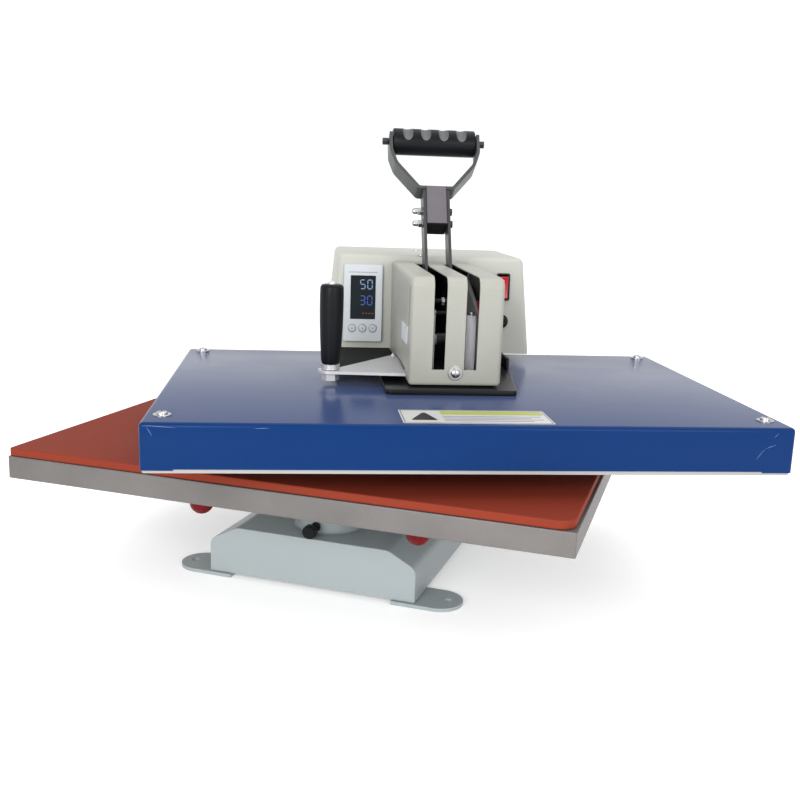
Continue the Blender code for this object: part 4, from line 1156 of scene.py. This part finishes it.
# --- lever ---
def make_lever():
    """Side bars, crank pin, stem with its bolts, bracket and finger grip."""
    for side in ("left", "right"):
        keep("lever_bar_" + side, BLACK_OXIDE, 0.0005)
    keep("toggle_link", BLACK_OXIDE, 0.0006)
    low, high = span("lever_stem", LEVER)
    wall = 0.002
    proud = 0.0018
    outer = rectangle((low.x, low.y - proud), (high.x, high.y + proud), 0.0022)
    inner = rectangle((low.x + wall, low.y + wall), (high.x - wall, high.y - wall), 0.0012)
    end = low.z - 0.0012
    plate("grey_stem", [outer, inner], end, high.z + 0.0038, "XY", STEM_GREY, LEVER, "lever", 0.0004,
        slot="dark_steel", node="lever_stem")
    plate("stem_end_cap", [outer], end - 0.0018, end, "XY", BLACK_MATT, LEVER, "lever", 0.0006)
    for name in ("stem_bolt_lower", "stem_bolt_upper"):
        make_stem_bolt(name)
    make_crank_pin()
    make_bracket()
    make_finger_grip()


def make_stem_bolt(name):
    """A through bolt: dark hexagon head on the right, washer and acorn nut on the left."""
    low, high, centre = extent(name, LEVER)
    if name == "stem_bolt_lower":
        centre.z -= 0.0028
    outside = 0.0166
    bm = bmesh.new()
    lathe(bm, [(0, high.x - 0.0003), (0.0034, high.x - 0.0003), (0.0034, outside), (0.0030, outside),
        (0.0030, -outside), (0, -outside)], 32)
    hexagon(bm, 0.0086, outside + 0.0002, high.x)
    piece(name + "_screw", bm, BLACK_OXIDE, at(LEVER, 0, centre.y, centre.z, "X"), "lever",
        slot="bright_steel", node=name)
    bm = bmesh.new()
    length = -low.x - outside
    lathe(bm, [(0, 0.0001), (0.0052, 0.0001), (0.0052, 0.0010), (0, 0.0010)], 32)
    hexagon(bm, 0.0088, 0.0011, 0.0054)
    dome = [(0, length)] + arc((0, length - 0.0036), 0.0036, 90, 0, 6)[1:]
    lathe(bm, dome + [(0.0036, 0.0054), (0, 0.0054)], 32)
    piece(name + "_acorn_nut", bm, ZINC, at(LEVER, -outside, centre.y, centre.z, "-X"), "lever",
        slot="bright_steel")


def make_crank_pin():
    """The crank pin with domed ends, and the small bolts that tie the bars' packing."""
    low, high, centre = extent("crank_pin", LEVER)
    radius = (high.z - low.z) / 2
    outside = high.x
    bm = bmesh.new()
    dome = 0.0022
    lathe(bm, [(0, outside + dome), (radius * 0.7, outside + dome * 0.75), (radius, outside),
        (radius, -outside), (radius * 0.7, -outside - dome * 0.75), (0, -outside - dome)], 36)
    piece("crank_pin_domed", bm, ZINC, at(LEVER, 0, centre.y, centre.z, "X"), "lever",
        slot="bright_steel", node="crank_pin")
    link = span("toggle_link", LEVER)[1].x
    for side, axis, name in ((-1, "-X", "left"), (1, "X", "right")):
        turned("pin_clip_" + name, [(radius, 0.0022), (0.0052, 0.0020), (0.0060, 0.0010), (0.0062, 0),
            (radius, 0)], PALE_STEEL, at(LEVER, side * (link + 0.0001), centre.y, centre.z, axis),
            "lever", 36)
    for i, (y, z, nut) in enumerate(((0.004, 0.039, -0.0065), (-0.002, 0.052, 0.0035))):
        bm = bmesh.new()
        end = outside + 0.0019
        lathe(bm, [(0, end), (0.0022, end - 0.0004), (0.0034, outside + 0.0002), (0.0030, outside),
            (0.0030, -outside), (0.0034, -outside - 0.0002), (0.0022, -end + 0.0004), (0, -end)], 28)
        place = at(LEVER, 0, y, z, "X")
        piece(f"bar_tie_{i + 1}", bm, BLACK_OXIDE, place, "lever", slot="bright_steel")
        bm = bmesh.new()
        hexagon(bm, 0.0084, nut, nut + 0.0038)
        piece(f"bar_tie_nut_{i + 1}", bm, PALE_STEEL, place, "lever")


def make_bracket():
    """The bent flat bar that carries the finger grip."""
    low, high = span("d_bracket", LEVER)
    high.z -= 0.005
    thick = 0.004
    half_w = high.x
    half_d = high.y
    outer = [(0, low.z), (0.0220, low.z), (0.0500, low.z + 0.0335), (half_w, low.z + 0.052),
        (half_w, high.z)]
    inner = [(half_w - thick, high.z), (half_w - thick, low.z + 0.0533), (0.0466, low.z + 0.0360),
        (0.0202, low.z + thick), (0, low.z + thick)]
    corners = outer[1:] + inner[:-1]
    corners += [(-x, z) for x, z in reversed(inner[:-1])] + [(-x, z) for x, z in reversed(outer[1:])]
    radii = [0.008, 0.020, 0.020, 0.0008, 0.0008, 0.016, 0.016, 0.004]
    outline = rounded_outline(corners, radii + list(reversed(radii)), 7)
    bracket = plate_object("bent_bracket", [outline], -half_d, half_d, "XZ")
    soften(bracket, 0.0005, 2, 50)
    finish_piece(bracket, DULL_STEEL, LEVER, "lever", slot="dark_steel", node="d_bracket")
    reach, centre = extent("d_grip_bolt", LEVER)[1:]
    bm = bmesh.new()
    lathe(bm, [(0, half_w + 0.0010), (0.0030, half_w + 0.0010), (0.0030, -half_w - 0.0010),
        (0, -half_w - 0.0010)], 28)
    for side in (-1, 1):
        hexagon(bm, 0.0084, *sorted((side * (half_w + 0.0006), side * reach.x)))
    piece("grip_through_bolt", bm, BLACK_OXIDE, at(LEVER, 0, centre.y, centre.z, "X"), "lever",
        slot="dark_steel", node="d_grip_bolt")


def make_finger_grip():
    """The moulded grip with four finger grooves in its upper front, their faces painted lighter grey as
    painted light from above.
    """
    low, high, centre = extent("d_grip", LEVER)
    radius = 0.0163
    half = high.x + 0.0012
    bm = bmesh.new()
    lathe(bm, [(0.0034, half), (radius - 0.0018, half), (radius - 0.0005, half - 0.0005),
        (radius, half - 0.0018), (radius, -half + 0.0018), (radius - 0.0005, -half + 0.0005),
        (radius - 0.0018, -half), (0.0034, -half), (0.0034, half)], 72)
    bmesh.ops.remove_doubles(bm, verts=bm.verts, dist=1e-7)
    grip = new_object("finger_grip", bm)
    grip.data.materials.append(BLACK_PLASTIC)
    pitch = 0.0222
    cutters = []
    groove_r = 0.0064
    lean = math.radians(29)
    axis_y = -(radius + groove_r / math.cos(lean)) + 0.0043
    for i in range(4):
        bm = bmesh.new()
        place = (Matrix.Rotation(-math.pi / 2, 4, "Y") @ Matrix.Translation(((i - 1.5) * pitch, axis_y,
            0)) @ Matrix.Rotation(-lean, 4, "X"))
        lathe(bm, [(0, 0.034), (groove_r, 0.034), (groove_r, -0.03), (0, -0.03)], 48, place)
        cutter = new_object("finger_groove", bm)
        # the grooves' faces take this lighter grey of painted light through the carve
        cutter.data.materials.append(GROOVE_PAINTED_LIGHT)
        cutters.append(cutter)
    carve(grip, cutters)
    soften(grip, 0.0006, 3, 45)
    finish_piece(grip, None, at(LEVER, centre.x, 0, centre.z, "X"), "lever", slot="black_plastic",
        node="d_grip")


# --- all of it ---
make_camera()
make_studio()
make_base()
make_lower_platen()
make_cover()
make_press_top()
make_mechanism_cover()
make_frame()
make_control_box()
make_side_handle()
make_lever()
